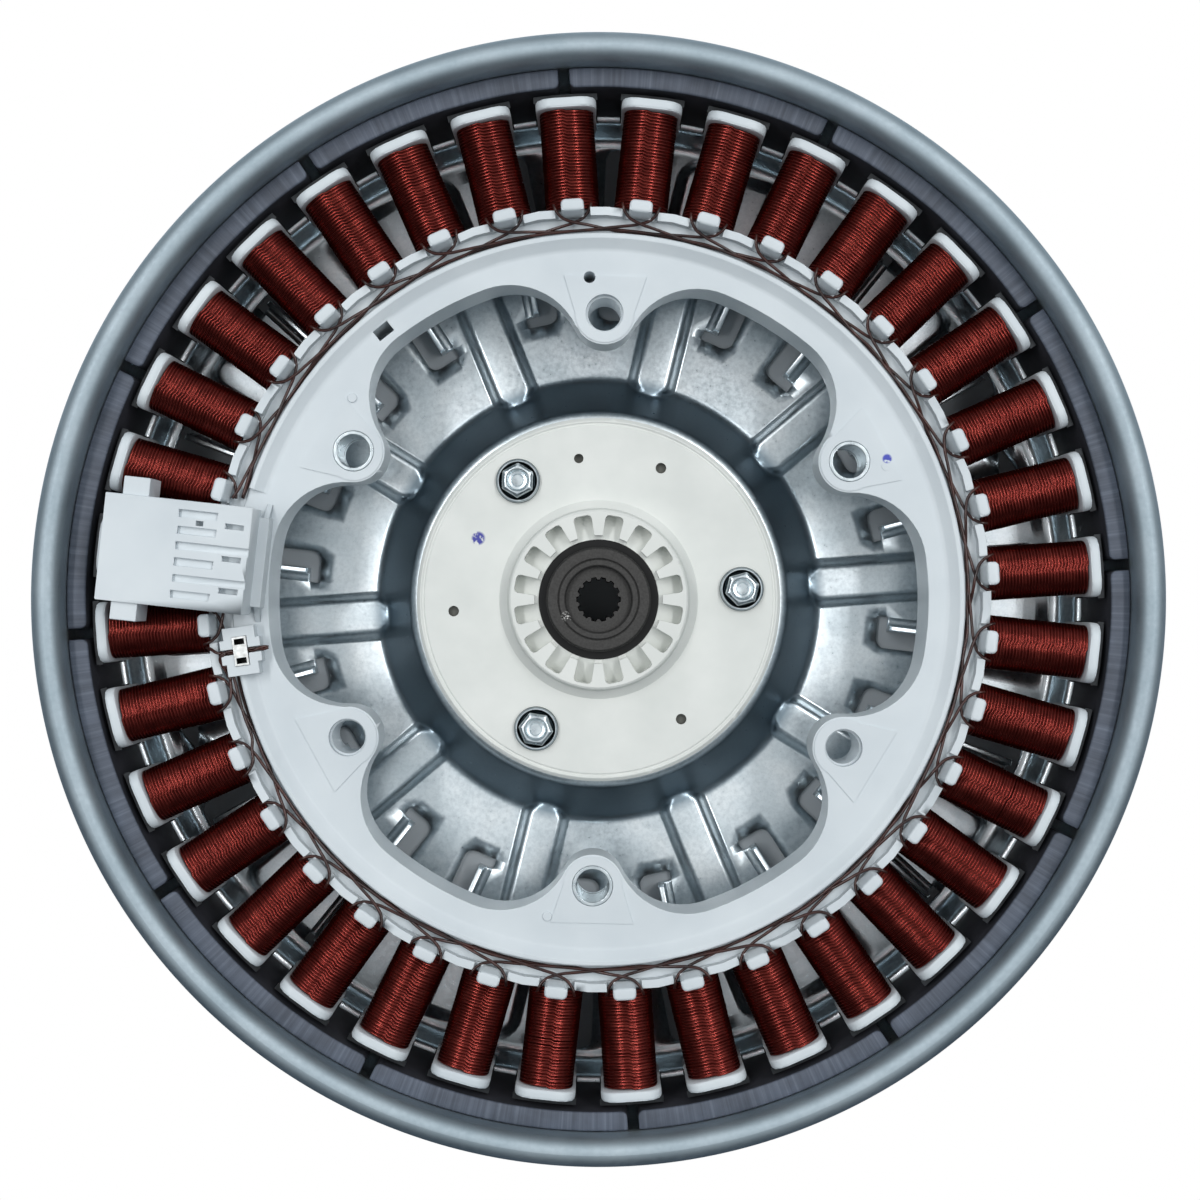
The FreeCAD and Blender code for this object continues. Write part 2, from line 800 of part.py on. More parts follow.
def wire_ramp():
    """The ramp on the slot wall beside every third peg, which lifts a passing wire off the others."""
    start = peg_width / 2 + slot_notch_width
    corners = [(-start, slot_wall_top - fit_gap, 0.0), (-start, slot_wall_top + ramp_rise, 0.0),
               (-start - ramp_length, slot_wall_top - fit_gap, 0.0)]
    return upright(corners, slot_wall_inner_radius + fit_gap, slot_wall_outer_radius - fit_gap, 0)


def kerb_gap():
    """The sector in which the kerb is left out, by the plug and the star point."""
    steps = int((kerb_gap_finish - kerb_gap_start) / kerb_gap_step)
    angles = [kerb_gap_start + (kerb_gap_finish - kerb_gap_start) * index / steps for index in range(steps + 1)]
    inner = [at(deck_radius - kerb_gap_margin, angle) for angle in angles]
    outer = [at(kerb_radius + kerb_width, angle) for angle in angles]
    return plate([(p.x, p.y, 0.0) for p in inner + outer[::-1]], deck_top, kerb_rise)


def boss_pads():
    """The slightly raised pad round each boss's bore, which widens away from the axis."""
    base = deck_top - fit_gap
    height = pad_rise + fit_gap
    far = boss_circle_radius + pad_reach
    corners = [(boss_circle_radius, -pad_nose_radius, 0.0), (far, -pad_far_half, 0.0),
               (far, pad_far_half, 0.0), (boss_circle_radius, pad_nose_radius, 0.0)]
    pads = []
    for angle in each(boss_count, boss_angle):
        pads.append(turned(plate(corners, base, height), angle))
        pads.append(post(pad_nose_radius, base, height, boss_circle_radius, angle))
    return pads


def tooth_slots(base, height):
    """The room for the core's teeth inside a moulding."""
    start = slot_wall_inner_radius - 2 * insulation
    slot = bar(start, core_outer_radius, tooth_width + 2 * fit_gap, base, height, 0)
    return [turned(slot, angle) for angle in each(coil_count, coil_angle)]


def lower_tooth():
    """One coil's share of the lower moulding: saddle and end wall."""
    reach = fit_gap + insulation
    saddle_width = tooth_width + 2 * reach
    base = core_base - reach
    top = core_middle - fit_gap
    saddle = bar(slot_wall_inner_radius, flange_outer_radius, saddle_width, base, top - base, 0)
    return joined([saddle, slot_flange(flange_base, top, False)])


def boss_outline(inset):
    """The ring's scalloped inner edge: an arc between bosses, a hollow fillet and each boss's nose.

    Each fillet's circle touches the nose from outside and the ring's edge from inside."""
    nose = boss_radius - inset
    edge_radius = ring_inner_radius
    reach = edge_radius - boss_fillet
    apart = nose + boss_fillet
    cosine = (reach ** 2 + boss_circle_radius ** 2 - apart ** 2) / (2 * reach * boss_circle_radius)
    swing = math.degrees(math.acos(cosine))
    step = FULL_TURN / boss_count
    edges = []
    for angle in each(boss_count, boss_angle):
        centre = at(boss_circle_radius, angle)
        right = at(reach, angle - swing)
        left = at(reach, angle + swing)
        enter = at(edge_radius, angle - swing)
        leave = at(edge_radius, angle + swing)
        right_touch = centre + (right - centre) * (nose / apart)
        left_touch = centre + (left - centre) * (nose / apart)
        right_middle = (enter + right_touch) * 0.5 - right
        right_middle.normalize()
        left_middle = (leave + left_touch) * 0.5 - left
        left_middle.normalize()
        edges.append(Part.Arc(enter, right + right_middle * boss_fillet, right_touch).toShape())
        edges.append(Part.Arc(right_touch, at(boss_circle_radius - nose, angle), left_touch).toShape())
        edges.append(Part.Arc(left_touch, left + left_middle * boss_fillet, leave).toShape())
        following = at(edge_radius, angle + step - swing)
        edges.append(Part.Arc(leave, at(edge_radius, angle + step / 2), following).toShape())
    return Part.Wire(edges)


def scalloped_plate(outer, inset, base, height):
    """A ring plate from a round outer edge in to the scalloped edge with its bosses."""
    disc = Part.Face(Part.Wire([Part.Circle(ORIGIN, UP, outer).toShape()]))
    hole = Part.Face(boss_outline(inset))
    body = disc.cut(hole).extrude(V(0, 0, height))
    body.translate(V(0, 0, base))
    return body


def boss_angles(with_bush):
    """The angles of the bosses that have a steel bush, or of those that have none."""
    start = boss_angle if with_bush else boss_angle + FULL_TURN / boss_count
    return each(steel_bush_count, start)


def boss_blocks(inset, base, height):
    """The thick part of each boss, down from the deck, as wide as its nose and root."""
    face = Part.Face(boss_outline(inset))
    ring = Part.Face(Part.Wire([Part.Circle(ORIGIN, UP, ring_inner_radius + ring_wall).toShape()]))
    lobes = ring.cut(face).extrude(V(0, 0, height))
    lobes.translate(V(0, 0, base))
    return lobes


def boss_holes():
    """Each boss's bore: plain and stepped, or as wide as the steel bush it holds."""
    cuts = []
    height = rotor_height
    for angle in boss_angles(True):
        cuts.append(post(steel_bush_radius + fit_gap, 0.0, height, boss_circle_radius, angle))
    for angle in boss_angles(False):
        cuts.append(post(boss_hole_radius, 0.0, height, boss_circle_radius, angle))
        wide = boss_hole_radius + counterbore_step
        cuts.append(post(wide, deck_top - counterbore_depth, height, boss_circle_radius, angle))
    return cuts


def insulator_upper():
    """The upper moulding: scalloped deck and bosses, kerb, wire channel and a saddle for each coil."""
    deck_base = deck_top - deck_thickness
    skirt_height = deck_top - core_middle
    upper_ring = [
        (yoke_inner_radius - fit_gap, core_top + fit_gap, 0.0),
        (slot_wall_inner_radius + slot_wall_thickness / 2, core_top + fit_gap, 0.0),
        (slot_wall_inner_radius + slot_wall_thickness / 2, channel_top, 0.0),
        (kerb_radius + kerb_width / 2, channel_top, kerb_foot_round),
        (kerb_radius + kerb_width / 2, kerb_top, kerb_round),
        (kerb_radius - kerb_width / 2, kerb_top, kerb_round),
        (deck_radius, deck_top, deck_edge_round),
        (yoke_inner_radius - 2 * ring_wall, deck_top, 0.0),
        (yoke_inner_radius - 2 * ring_wall, deck_base, 0.0),
        (yoke_inner_radius - fit_gap - ring_wall, deck_base, 0.0),
        (yoke_inner_radius - fit_gap - ring_wall, core_middle, 0.0),
        (yoke_inner_radius - fit_gap, core_middle, 0.0),
    ]
    ring = turned_profile(upper_ring).cut(kerb_gap())
    deck = scalloped_plate(deck_radius - deck_lap, 0.0, deck_base, deck_thickness)
    lobes = boss_blocks(0.0, core_middle, skirt_height)
    wall = slot_wall_ring(core_middle, slot_wall_top - core_middle)
    coil_angles = each(coil_count, coil_angle)
    ramps = [turned(wire_ramp(), angle) for angle in coil_angles[::phase_count]]
    notches = [turned(notch, angle) for notch in wire_notches() for angle in coil_angles]
    wall = joined([wall] + ramps).cut(notches)
    tooth = upper_tooth()
    teeth = [turned(tooth, angle) for angle in coil_angles]
    pips = [post(deck_pip_radius, deck_top - fit_gap, deck_pip_rise + fit_gap, deck_radius - inset, angle)
            for angle, inset in deck_pips]
    pocket, slot = star_frame()
    body = joined([ring, deck, lobes, wall, turned(pocket, star_angle)] + teeth + boss_pads() + pips)
    window = bar(deck_radius - deck_window_width, deck_radius, deck_window_length, core_middle,
                 core_height, deck_window_angle)
    hole = post(deck_hole_radius, core_middle, core_height, ring_inner_radius - deck_hole_inset,
                deck_hole_angle)
    slots = tooth_slots(core_base, core_height + fit_gap)
    return body.cut(boss_holes() + [window, hole, turned(slot, star_angle), plug_room()] + slots)


def plug_room():
    """The space over the coils that the plug housing fills, where the pegs are cut short."""
    base = core_top + plug_base_rise - fit_gap
    return bar(kerb_radius, plug_outer_radius, plug_width + 2 * fit_gap, base, plug_height, plug_angle)


def insulator_lower():
    """The lower moulding: the back of the bosses, a skirt inside the yoke and a saddle for each coil."""
    top = core_middle - fit_gap
    boss_base = core_middle - boss_lower_depth
    ring = tube(yoke_inner_radius - fit_gap, yoke_inner_radius - fit_gap - ring_wall,
                core_base - lower_rise, top - core_base + lower_rise)
    sole = tube(slot_wall_inner_radius + slot_wall_thickness / 2, yoke_inner_radius - ring_wall,
                core_base - lower_rise, lower_rise - fit_gap)
    shelf = scalloped_plate(yoke_inner_radius - ring_wall, boss_lower_inset, boss_base, top - boss_base)
    wall_base = core_base - insulation - slot_wall_rise
    wall = slot_wall_ring(wall_base, top - wall_base)
    tooth = lower_tooth()
    teeth = [turned(tooth, angle) for angle in each(coil_count, coil_angle)]
    body = joined([ring, sole, shelf, wall] + teeth)
    return body.cut(boss_holes() + tooth_slots(core_base - fit_gap, core_height))


def coil(degrees):
    """One coil: a rounded rectangular ring of wire round its insulated tooth."""
    reach = fit_gap + insulation + coil_bore_gap
    inner_half = tooth_width / 2 + reach
    inner_low = core_base - reach
    inner_high = core_top + reach
    half = coil_width / 2
    low = core_base - insulation - coil_overhang
    high = core_top + insulation + coil_overhang
    outer = [(-half, low, coil_corner), (half, low, coil_corner), (half, high, coil_corner),
             (-half, high, coil_corner)]
    inner = [(-inner_half, inner_low, 0.0), (inner_half, inner_low, 0.0), (inner_half, inner_high, 0.0),
             (-inner_half, inner_high, 0.0)]
    start = slot_wall_outer_radius + coil_end_gap
    finish = flange_inner_radius - coil_end_gap
    body = upright(outer, start, finish, 2).cut(upright(inner, start, finish, 0))
    return turned(body, degrees)


def winding(phase):
    """All the coils of one phase: every third coil round the core."""
    angles = each(coil_count, coil_angle)[phase::phase_count]
    return Part.makeCompound([coil(angle) for angle in angles])


def mounting_bush(degrees):
    """A steel sleeve pressed into a boss."""
    base = core_middle - boss_lower_depth
    sleeve = tube(steel_bush_radius, boss_hole_radius, base, deck_top + pad_rise - base)
    sleeve.translate(V(boss_circle_radius, 0, 0))
    return turned(sleeve, degrees)


def connector_housing():
    """The plug housing: a wide flat shell with side wings, top grooves and a foot on the channel."""
    base = core_top + plug_base_rise
    top = base + plug_height
    half = plug_width / 2
    outer = plug_outer_radius
    wing_end = outer - plug_wing_margin
    wing_start = wing_end - plug_wing_length
    body = bar(plug_inner_radius, outer, plug_width, base, plug_height, 0)
    wings = bar(wing_start, wing_end, plug_width + 2 * plug_wing_width, base, plug_height - plug_wall / 2, 0)
    foot = bar(plug_seat_radius, deck_radius - plug_seat_margin, plug_seat_width, deck_top,
               base - deck_top + plug_wall, 0)
    gussets = []
    for side in (1, -1):
        edge = side * plug_seat_width / 2
        corners = [(edge, deck_top, 0.0), (edge + side * plug_gusset_reach, deck_top, 0.0),
                   (edge, deck_top + plug_gusset_reach, 0.0)]
        gussets.append(upright(corners, plug_gusset_radius, plug_gusset_radius + plug_gusset_thickness, 0))
    housing = joined([body, wings, foot] + gussets)
    cuts = [
        bar(outer - plug_cavity_depth, outer + plug_wall, plug_width - 2 * plug_wall, base + plug_wall,
            plug_height - 2 * plug_wall, 0),
    ]
    groove_end = plug_inner_radius + plug_groove_length
    for index in range(plug_groove_count):
        offset = (index - (plug_groove_count - 1) / 2) * plug_groove_pitch
        start = groove_end - plug_short_groove_length
        if index in plug_long_grooves:
            start = plug_inner_radius - plug_wall
        cuts.append(bar(start, groove_end, plug_groove_width, top - plug_groove_depth, plug_height, 0, offset))
    window_start = plug_inner_radius + plug_window_start
    window_base = top - plug_window_depth
    for step in (-2, 0, 2):
        cuts.append(bar(window_start, window_start + plug_window_length, plug_window_width, window_base,
                        plug_height, 0, step * plug_groove_pitch))
    mark_start = plug_inner_radius + plug_mark_start
    cuts.append(bar(mark_start, mark_start + plug_mark_length, plug_window_width, window_base,
                    plug_height, 0, -2 * plug_groove_pitch))
    slots = tab_blades(fit_gap)
    housing = housing.cut(cuts + slots)
    return turned(housing, plug_angle)


def tab_blades(clearance):
    """The three flat blades of the plug, grown by the clearance."""
    base = core_top + plug_base_rise + plug_height / 2 - tab_thickness / 2
    finish = plug_outer_radius - plug_wall
    blades = []
    for index in range(phase_count):
        offset = (index - (phase_count - 1) / 2) * tab_pitch
        blades.append(bar(finish - plug_cavity_depth - tab_length / 2, finish - plug_cavity_depth + tab_length,
                          tab_width + 2 * clearance, base - clearance, tab_thickness + 2 * clearance, 0, offset))
    return blades


def star_frame():
    """The moulded pocket of the star point: a cross-shaped block open at the top."""
    base = deck_top - deck_thickness / 2
    height = deck_top + star_frame_rise - base
    long_block = bar(star_radius - star_frame_depth / 2, star_radius + star_frame_depth / 2,
                     star_frame_width, base, height, 0)
    cross_block = bar(star_radius - star_cross_depth / 2, star_radius + star_cross_depth / 2,
                      star_cross_width, base, height, 0)
    frame = joined([long_block, cross_block])
    slot = bar(star_radius - star_slot_depth / 2, star_radius + star_slot_depth / 2, star_slot_width,
               deck_top, height, 0)
    wire_slot = bar(star_radius - star_cross_depth, star_radius + star_cross_depth, star_wire_slot_width,
                    deck_top + star_frame_rise - star_wire_slot_depth, height, 0)
    return frame.cut(wire_slot), slot


def star_terminal():
    """The folded metal clip that joins the three phases, pressed into its pocket."""
    depth = star_slot_depth - 2 * fit_gap
    width = star_slot_width - 2 * fit_gap
    height = star_frame_rise + star_clip_proud
    clip = bar(star_radius - depth / 2, star_radius + depth / 2, width, deck_top, height, 0)
    pit_depth = depth - 2 * star_clip_pit_margin
    pits = []
    for side in (1, -1):
        offset = side * (width / 2 - star_clip_pit_margin - star_clip_pit_length / 2)
        pits.append(bar(star_radius - pit_depth / 2, star_radius + pit_depth / 2, star_clip_pit_length,
                        deck_top + height - star_clip_pit_depth, height, 0, offset))
    return turned(clip.cut(pits), star_angle)


def save(name, shape):
    """Write one piece to its own file."""
    shape.exportStep("parts/" + name + ".step")
    volume = sum(solid.Volume for solid in shape.Solids)
    print(name, len(shape.Solids), round(volume), shape.isValid())


def build():
    """Make every piece and write it."""
    os.makedirs("parts", exist_ok=True)
    save("rotor_frame", rotor_frame())
    for index, angle in enumerate(each(magnet_count, magnet_angle)):
        save("magnet_%02d" % (index + 1), magnet(angle))
    save("rotor_hub", rotor_hub())
    save("spline_bush", spline_bush())
    for index, angle in enumerate(each(hub_bolt_count, hub_bolt_angle)):
        save("hub_bolt_%d" % (index + 1), hub_bolt(angle))
        save("hub_nut_%d" % (index + 1), hub_nut(angle))
    save("stator_core", stator_core())
    save("insulator_upper", insulator_upper())
    save("insulator_lower", insulator_lower())
    for phase, name in enumerate(("u", "v", "w")):
        save("winding_" + name, winding(phase))
    for index, angle in enumerate(boss_angles(True)):
        save("mounting_bush_%d" % (index + 1), mounting_bush(angle))
    save("connector_housing", connector_housing())
    for index, blade in enumerate(tab_blades(0.0)):
        save("phase_terminal_%d" % (index + 1), turned(blade, plug_angle))
    save("star_terminal", star_terminal())


build()
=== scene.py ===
import json
import math

import bmesh
import bpy
import numpy as np
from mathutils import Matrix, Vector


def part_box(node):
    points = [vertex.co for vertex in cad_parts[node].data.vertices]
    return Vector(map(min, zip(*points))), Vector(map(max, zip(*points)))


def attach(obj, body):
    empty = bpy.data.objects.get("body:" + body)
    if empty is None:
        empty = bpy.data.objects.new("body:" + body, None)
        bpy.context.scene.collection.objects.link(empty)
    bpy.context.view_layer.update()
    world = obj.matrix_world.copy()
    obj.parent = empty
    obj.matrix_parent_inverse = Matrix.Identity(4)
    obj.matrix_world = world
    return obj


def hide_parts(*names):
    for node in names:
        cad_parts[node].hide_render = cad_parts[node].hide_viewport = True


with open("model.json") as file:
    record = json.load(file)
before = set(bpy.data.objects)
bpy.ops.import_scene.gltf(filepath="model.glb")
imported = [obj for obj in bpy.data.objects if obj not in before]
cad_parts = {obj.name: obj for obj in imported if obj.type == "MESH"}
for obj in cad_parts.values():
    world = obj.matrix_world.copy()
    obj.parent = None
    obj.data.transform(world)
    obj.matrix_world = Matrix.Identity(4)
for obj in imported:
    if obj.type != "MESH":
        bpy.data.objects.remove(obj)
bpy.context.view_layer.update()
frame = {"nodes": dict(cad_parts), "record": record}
MM = 0.001


def node_box(name):
    """A node's lowest and highest corners in millimetres."""
    low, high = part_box(name)
    return np.array(low) / MM, np.array(high) / MM


# Each node's finish, and sizes read from the frame, in millimetres
frame_slots = {s["node"]: s["material_slot"] for s in frame["record"]["subparts"]}
CUP_HIGH = node_box("rotor_frame")[1]
RIM_RADIUS = CUP_HIGH[0]
RIM_TOP = CUP_HIGH[2]
CORE_LOW, CORE_HIGH = node_box("stator_core")
CORE_BASE = CORE_LOW[2]
CORE_TOP = CORE_HIGH[2]
MAGNET_LOW, MAGNET_HIGH = node_box("magnet_01")
MAGNET_BASE = MAGNET_LOW[2]
MAGNET_TOP = MAGNET_HIGH[2]
COIL_LOW, COIL_HIGH = node_box("winding_u")
COIL_BASE = COIL_LOW[2]
COIL_TOP = COIL_HIGH[2]

# Cup sheet
SHEET = 1.6
CURL = 3.75
CURL_LEG = 4.2
LEDGE_HEIGHT = 10.0
LEDGE_RADIUS = 131.0
FLOOR_END = 128.4
PLATE_HEIGHT = 20.6
PLATE_RADIUS = 50.0
PLATE_HOLE = 27.0
CONE_FOOT = 61.0
WALL_RADIUS = RIM_RADIUS - 2 * CURL
RIB_COUNT = 10
RIB_ANGLE = 4.2
RIB_HALF = 6.65
RIB_HEIGHT = 5.5
RIB_START = 56.0
RIB_END = 125.4
VENT_SPREAD = 7.2
VENT_HALF = 4.4
VENT_START = 78.0
VENT_END = 125.8
VENT_CORNER = 2.9
FIN_EDGE = 0.5
VENT_COLUMNS = (-4.4, -3.2, -2.1, -0.5, 1.2, 3.0, 4.4)
FIN_RISE = 5.7
FIN_RELIEF = 3.0
HOLE_CIRCLE = 119.8
HOLE_RADIUS = 4.0

# Magnets
MAGNET_COUNT = 12
MAGNET_ANGLE = 18.8
MAGNET_GAP = 2.8
MAGNET_OUTER = WALL_RADIUS - 0.1
MAGNET_INNER = MAGNET_OUTER - 5.0

# Coils and wires
COIL_COUNT = 36
COIL_ANGLE = 3.8
COIL_HALF = 7.1
COIL_START = 100.9
COIL_END = 126.75
COIL_CROWN = 9.3
COIL_SHOULDER = 5.0
COIL_TURNS = 31
BORE_HALF = 4.65
WIRE = 0.41
CHANNEL_RADIUS = 95.5
HIDDEN_PEG = 17
PLUG_SPAN = (164.6, 178.0)

# Star point: its clip's top and outer edge, and its two twisted wire ends
STAR_ANGLE = 188.2
CLIP_TOP = node_box("star_terminal")[1][2]
CLIP_OUTER = 97.1
TWIST_START = 98.2
TWIST_LENGTH = 12.6
TWIST_RADIUS = 0.33
TWIST_WIRE = 0.36

# Pegs behind the coils
PEG_FOOT = 98.55
PEG_WALL = 2.2
PEG_REACH = 1.6
PEG_NECK = 4.3
PEG_TOP = 9.0
PEG_HALF = 2.8
PEG_HEAD = 2.7
PEG_CORNER = 1.25
PEG_ROUND = 0.75
PEG_GROW = 0.16

# Coil end walls
WALL_START = 126.95
WALL_THICK = 2.5
WALL_HALF = 7.75
WALL_CORNER = 4.2
WALL_REACH = 12.0
WALL_TOP = CORE_TOP + 5.0
WALL_BASE = CORE_BASE - 5.0
WALL_ROUND = 0.8
WALL_GROW = 0.12

# Hub, bush and hub bolts
HUB_TOP = 24.2
HUB_HOLE_FLOOR = (21.5, 21.7)
HUB_HOLE_MOUTH = (23.8, 23.5)
HUB_HOLE_INNER = (36.4, 36.6)
HUB_HOLE_OUTER = (40.6, 40.4)
BUSH_TOP = 31.2
BUSH_RIM = (13.6, 14.0)
BOLT_CIRCLE = 38.2
BOLT_TURNS = (11.0, 24.0, 47.0)

# Edges of the mouldings that turn by more than the first angle are rounded; the second cuts large flats
SHARP_ANGLE = 32
SECTOR_ANGLE = 20

# Studio: the room's brightest direction and its tones from low down to overhead
ROOM_LEAN = (0.12, 0.33, 0.936)
ROOM_TONES = [(0.38, "#213a52"), (0.48, "#2b3842"), (0.58, "#30363a"), (0.72, "#535c62"), (0.84, "#b5bec4"),
              (0.93, "#f4f8fa")]
ROOM_POWER = 0.86
# The hand that holds the camera shades a small part of it: direction, edges as cosines, and what is left there
SHADE_LEAN = (0.05, 0.195, 0.98)
SHADE_EDGES = (0.982, 0.996)
SHADE_LEFT = 0.12
# Long lamps over both sides of the table: name and place in metres, then the size and watts that they share
LAMPS = [("left_lamp", (-0.64, 0.35, 1.3)), ("right_lamp", (0.64, 0.35, 1.3))]
LAMP_SIZE = (0.13, 1.1)
LAMP_POWER = 8.0
FLOOR_HALF = 3.0
REFLECTION_REACH = 150.0
EYE = (0.00038, -0.00013, 0.508)
LENS = 54.39
SENSOR = 36.0


def linear(code):
    """An sRGB hex colour as linear red, green, blue and alpha."""
    raw = [int(code[i:i + 2], 16) / 255 for i in (1, 3, 5)]
    return [c / 12.92 if c <= 0.04045 else ((c + 0.055) / 1.055) ** 2.4 for c in raw] + [1.0]


class Finish:
    """A new material, with one call to add a node with its settings and links."""

    def __init__(self, name):
        self.material = bpy.data.materials.new(name)
        self.material.use_nodes = True
        self.tree = self.material.node_tree
        self.shader = self.tree.nodes["Principled BSDF"]

    def add(self, kind, settings=None, **inputs):
        node = self.tree.nodes.new(kind)
        for key, value in (settings or {}).items():
            setattr(node, key, value)
        self.set(node, **inputs)
        return node

    def set(self, node, **inputs):
        for key, value in inputs.items():
            socket = node.inputs[int(key[1:])] if key[0] == "_" else node.inputs[key.replace("_", " ")]
            if isinstance(value, bpy.types.NodeSocket):
                self.tree.links.new(value, socket)
            else:
                socket.default_value = value

    def shade(self, **inputs):
        self.set(self.shader, **inputs)

    def ramp(self, factor, stops):
        node = self.add("ShaderNodeValToRGB", _0=factor)
        elements = node.color_ramp.elements
        while len(elements) < len(stops):
            elements.new(0.5)
        for element, (place, colour) in zip(elements, stops):
            element.position = place
            element.color = linear(colour)
        return node.outputs[0]

    def noise(self, size_mm, detail=3.0, vector=None, rough=0.5):
        """Noise whose features are about size_mm across."""
        vector = vector or self.place()
        scale = 1 / (size_mm * MM)
        return self.add("ShaderNodeTexNoise", _0=vector, Scale=scale, Detail=detail, Roughness=rough).outputs[0]

    def place(self):
        return self.add("ShaderNodeTexCoord").outputs["Object"]

    def radius(self):
        """Distance from the motor's axis."""
        flat = self.add("ShaderNodeVectorMath", {"operation": "MULTIPLY"}, _0=self.place(), _1=(1, 1, 0))
        return self.add("ShaderNodeVectorMath", {"operation": "LENGTH"}, _0=flat.outputs[0]).outputs["Value"]

    def height(self):
        return self.add("ShaderNodeSeparateXYZ", _0=self.place()).outputs[2]

    def product(self, first, second):
        return self.add("ShaderNodeMath", {"operation": "MULTIPLY"}, _0=first, _1=second).outputs[0]

    def spot(self, degrees, radius_mm, height_mm, size_mm):
        """One inside a small ball round a point, zero outside, with a soft edge."""
        turn = math.radians(degrees)
        centre = (radius_mm * MM * math.cos(turn), radius_mm * MM * math.sin(turn), height_mm * MM)
        away = self.add("ShaderNodeVectorMath", {"operation": "DISTANCE"}, _0=self.place(), _1=centre)
        return self.spread(away.outputs["Value"], size_mm * MM, 0.7 * size_mm * MM, 0.0, 1.0)

    def bump(self, height, depth_mm, strength=1.0):
        node = self.add("ShaderNodeBump", Height=height, Strength=strength, Distance=depth_mm * MM)
        self.shade(Normal=node.outputs[0])
        return node

    def blend(self, factor, first, second, mode="MIX"):
        settings = {"data_type": "RGBA", "blend_type": mode}
        return self.add("ShaderNodeMix", settings, _0=factor, _6=first, _7=second).outputs[2]

    def spread(self, value, low, high, to_low, to_high):
        node = self.add("ShaderNodeMapRange", _0=value, _1=low, _2=high, _3=to_low, _4=to_high)
        return node.outputs[0]

    def rise(self, value, low_mm, high_mm):
        """Zero up to the first length, one from the second on; given the other way round, it falls."""
        return self.spread(value, low_mm * MM, high_mm * MM, 0.0, 1.0)


def galvanised_sheet():
    """Hot-dip galvanised sheet: pale satin zinc, with painted shade that darkens the cone round the hub, and a
    duller rolled rim whose darker tone is painted shade too.
    """
    f = Finish("galvanised_sheet")
    cloud = f.noise(14, 4)
    grain = f.noise(1.2, 5, rough=0.65)
    base = f.ramp(cloud, [(0.3, "#cdd7dc"), (0.5, "#dce4e8"), (0.72, "#ebf0f2")])
    speck = f.ramp(grain, [(0.35, "#8f9ca3"), (0.6, "#ffffff")])
    base = f.blend(0.22, base, speck, "MULTIPLY")
    height = f.height()
    # Painted shade: the cone round the hub, low down near its foot, is coloured darker
    low = f.rise(height, PLATE_HEIGHT - 0.3, PLATE_HEIGHT - 1.5)
    near = f.rise(f.radius(), CONE_FOOT + 2.0, CONE_FOOT - 1.0)
    cone_shade = f.product(low, near)
    rolled = f.rise(height, RIM_TOP - 10, RIM_TOP - 7)
    rough = f.add("ShaderNodeMath", {"operation": "MULTIPLY_ADD"}, _0=rolled, _1=0.28,
                  _2=f.spread(grain, 0.3, 0.7, 0.27, 0.38))
    # The rolled rim is rougher, and its darker tone there is painted shade
    base = f.blend(rolled, base, f.ramp(cloud, [(0.3, "#a0aeb6"), (0.72, "#b1bdc4")]))
    f.shade(Base_Color=f.blend(cone_shade, base, linear("#8f9ea8")))
    f.shade(Metallic=1.0, Roughness=rough.outputs[0])
    f.bump(grain, 0.03, 0.3)
    return f.material


def ferrite():
    """Sintered and ground ferrite: dark grey, lighter and streaked where the end face was ground."""
    f = Finish("ferrite")
    place = f.place()
    parts = f.add("ShaderNodeSeparateXYZ", _0=place)
    top = f.rise(parts.outputs[2], MAGNET_TOP - 0.7, MAGNET_TOP - 0.25)
    angle = f.add("ShaderNodeMath", {"operation": "ARCTAN2"}, _0=parts.outputs[1], _1=parts.outputs[0])
    streak_place = f.add("ShaderNodeCombineXYZ", X=angle.outputs[0])
    streak = f.add("ShaderNodeTexNoise", _0=streak_place.outputs[0], Scale=90.0, Detail=5.0, Roughness=0.7)
    blotch = f.noise(9, 4)
    ground = f.ramp(streak.outputs[0], [(0.3, "#4a515d"), (0.5, "#5b6270"), (0.7, "#767e8c")])
    ground = f.blend(0.45, ground, f.ramp(blotch, [(0.35, "#4c4f52"), (0.65, "#a6a9ab")]), "OVERLAY")
    raw = f.ramp(blotch, [(0.3, "#26272d"), (0.7, "#35363d")])
    f.shade(Base_Color=f.blend(top, raw, ground), Roughness=0.62)
    f.bump(f.noise(0.6, 4), 0.05, 0.5)
    return f.material


def wire_enamel():
    """Copper wire under red-brown enamel, glossy on the crown of each turn."""
    f = Finish("wire_enamel")
    tint = f.noise(3.2, 3)
    f.shade(Base_Color=f.ramp(tint, [(0.25, "#5b1c16"), (0.5, "#6b241e"), (0.75, "#7e3028")]))
    f.shade(Metallic=0.93, Roughness=0.24, Coat_Weight=0.1, Coat_Roughness=0.16)
    return f.material


def lead_wire():
    """The same enamelled wire seen singly, coloured nearly black with painted shade."""
    f = Finish("lead_wire")
    tint = f.noise(4.0, 2)
    f.shade(Base_Color=f.ramp(tint, [(0.3, "#200b08"), (0.7, "#43190f")]))
    f.shade(Metallic=0.2, Roughness=0.35, Coat_Weight=0.4, Coat_Roughness=0.2)
    return f.material


def stator_plastic():
    """Glass-filled polyester moulding, white with a cool cast and a fine satin skin."""
    f = Finish("stator_plastic")
    patch = f.noise(22, 3)
    dot = f.product(f.spot(26, 83.0, CORE_TOP + 2.0, 1.45), f.spread(f.noise(0.9, 2), 0.36, 0.46, 0.0, 1.0))
    f.shade(Base_Color=f.blend(dot, f.ramp(patch, [(0.3, "#ccd4d9"), (0.7, "#d7dee2")]), linear("#3a45b4")))
    f.shade(Roughness=0.46, IOR=1.52, Subsurface_Weight=0.06, Subsurface_Radius=(0.6, 0.6, 0.6),
            Subsurface_Scale=0.002)
    f.bump(f.noise(0.8, 3), 0.02, 0.3)
    return f.material


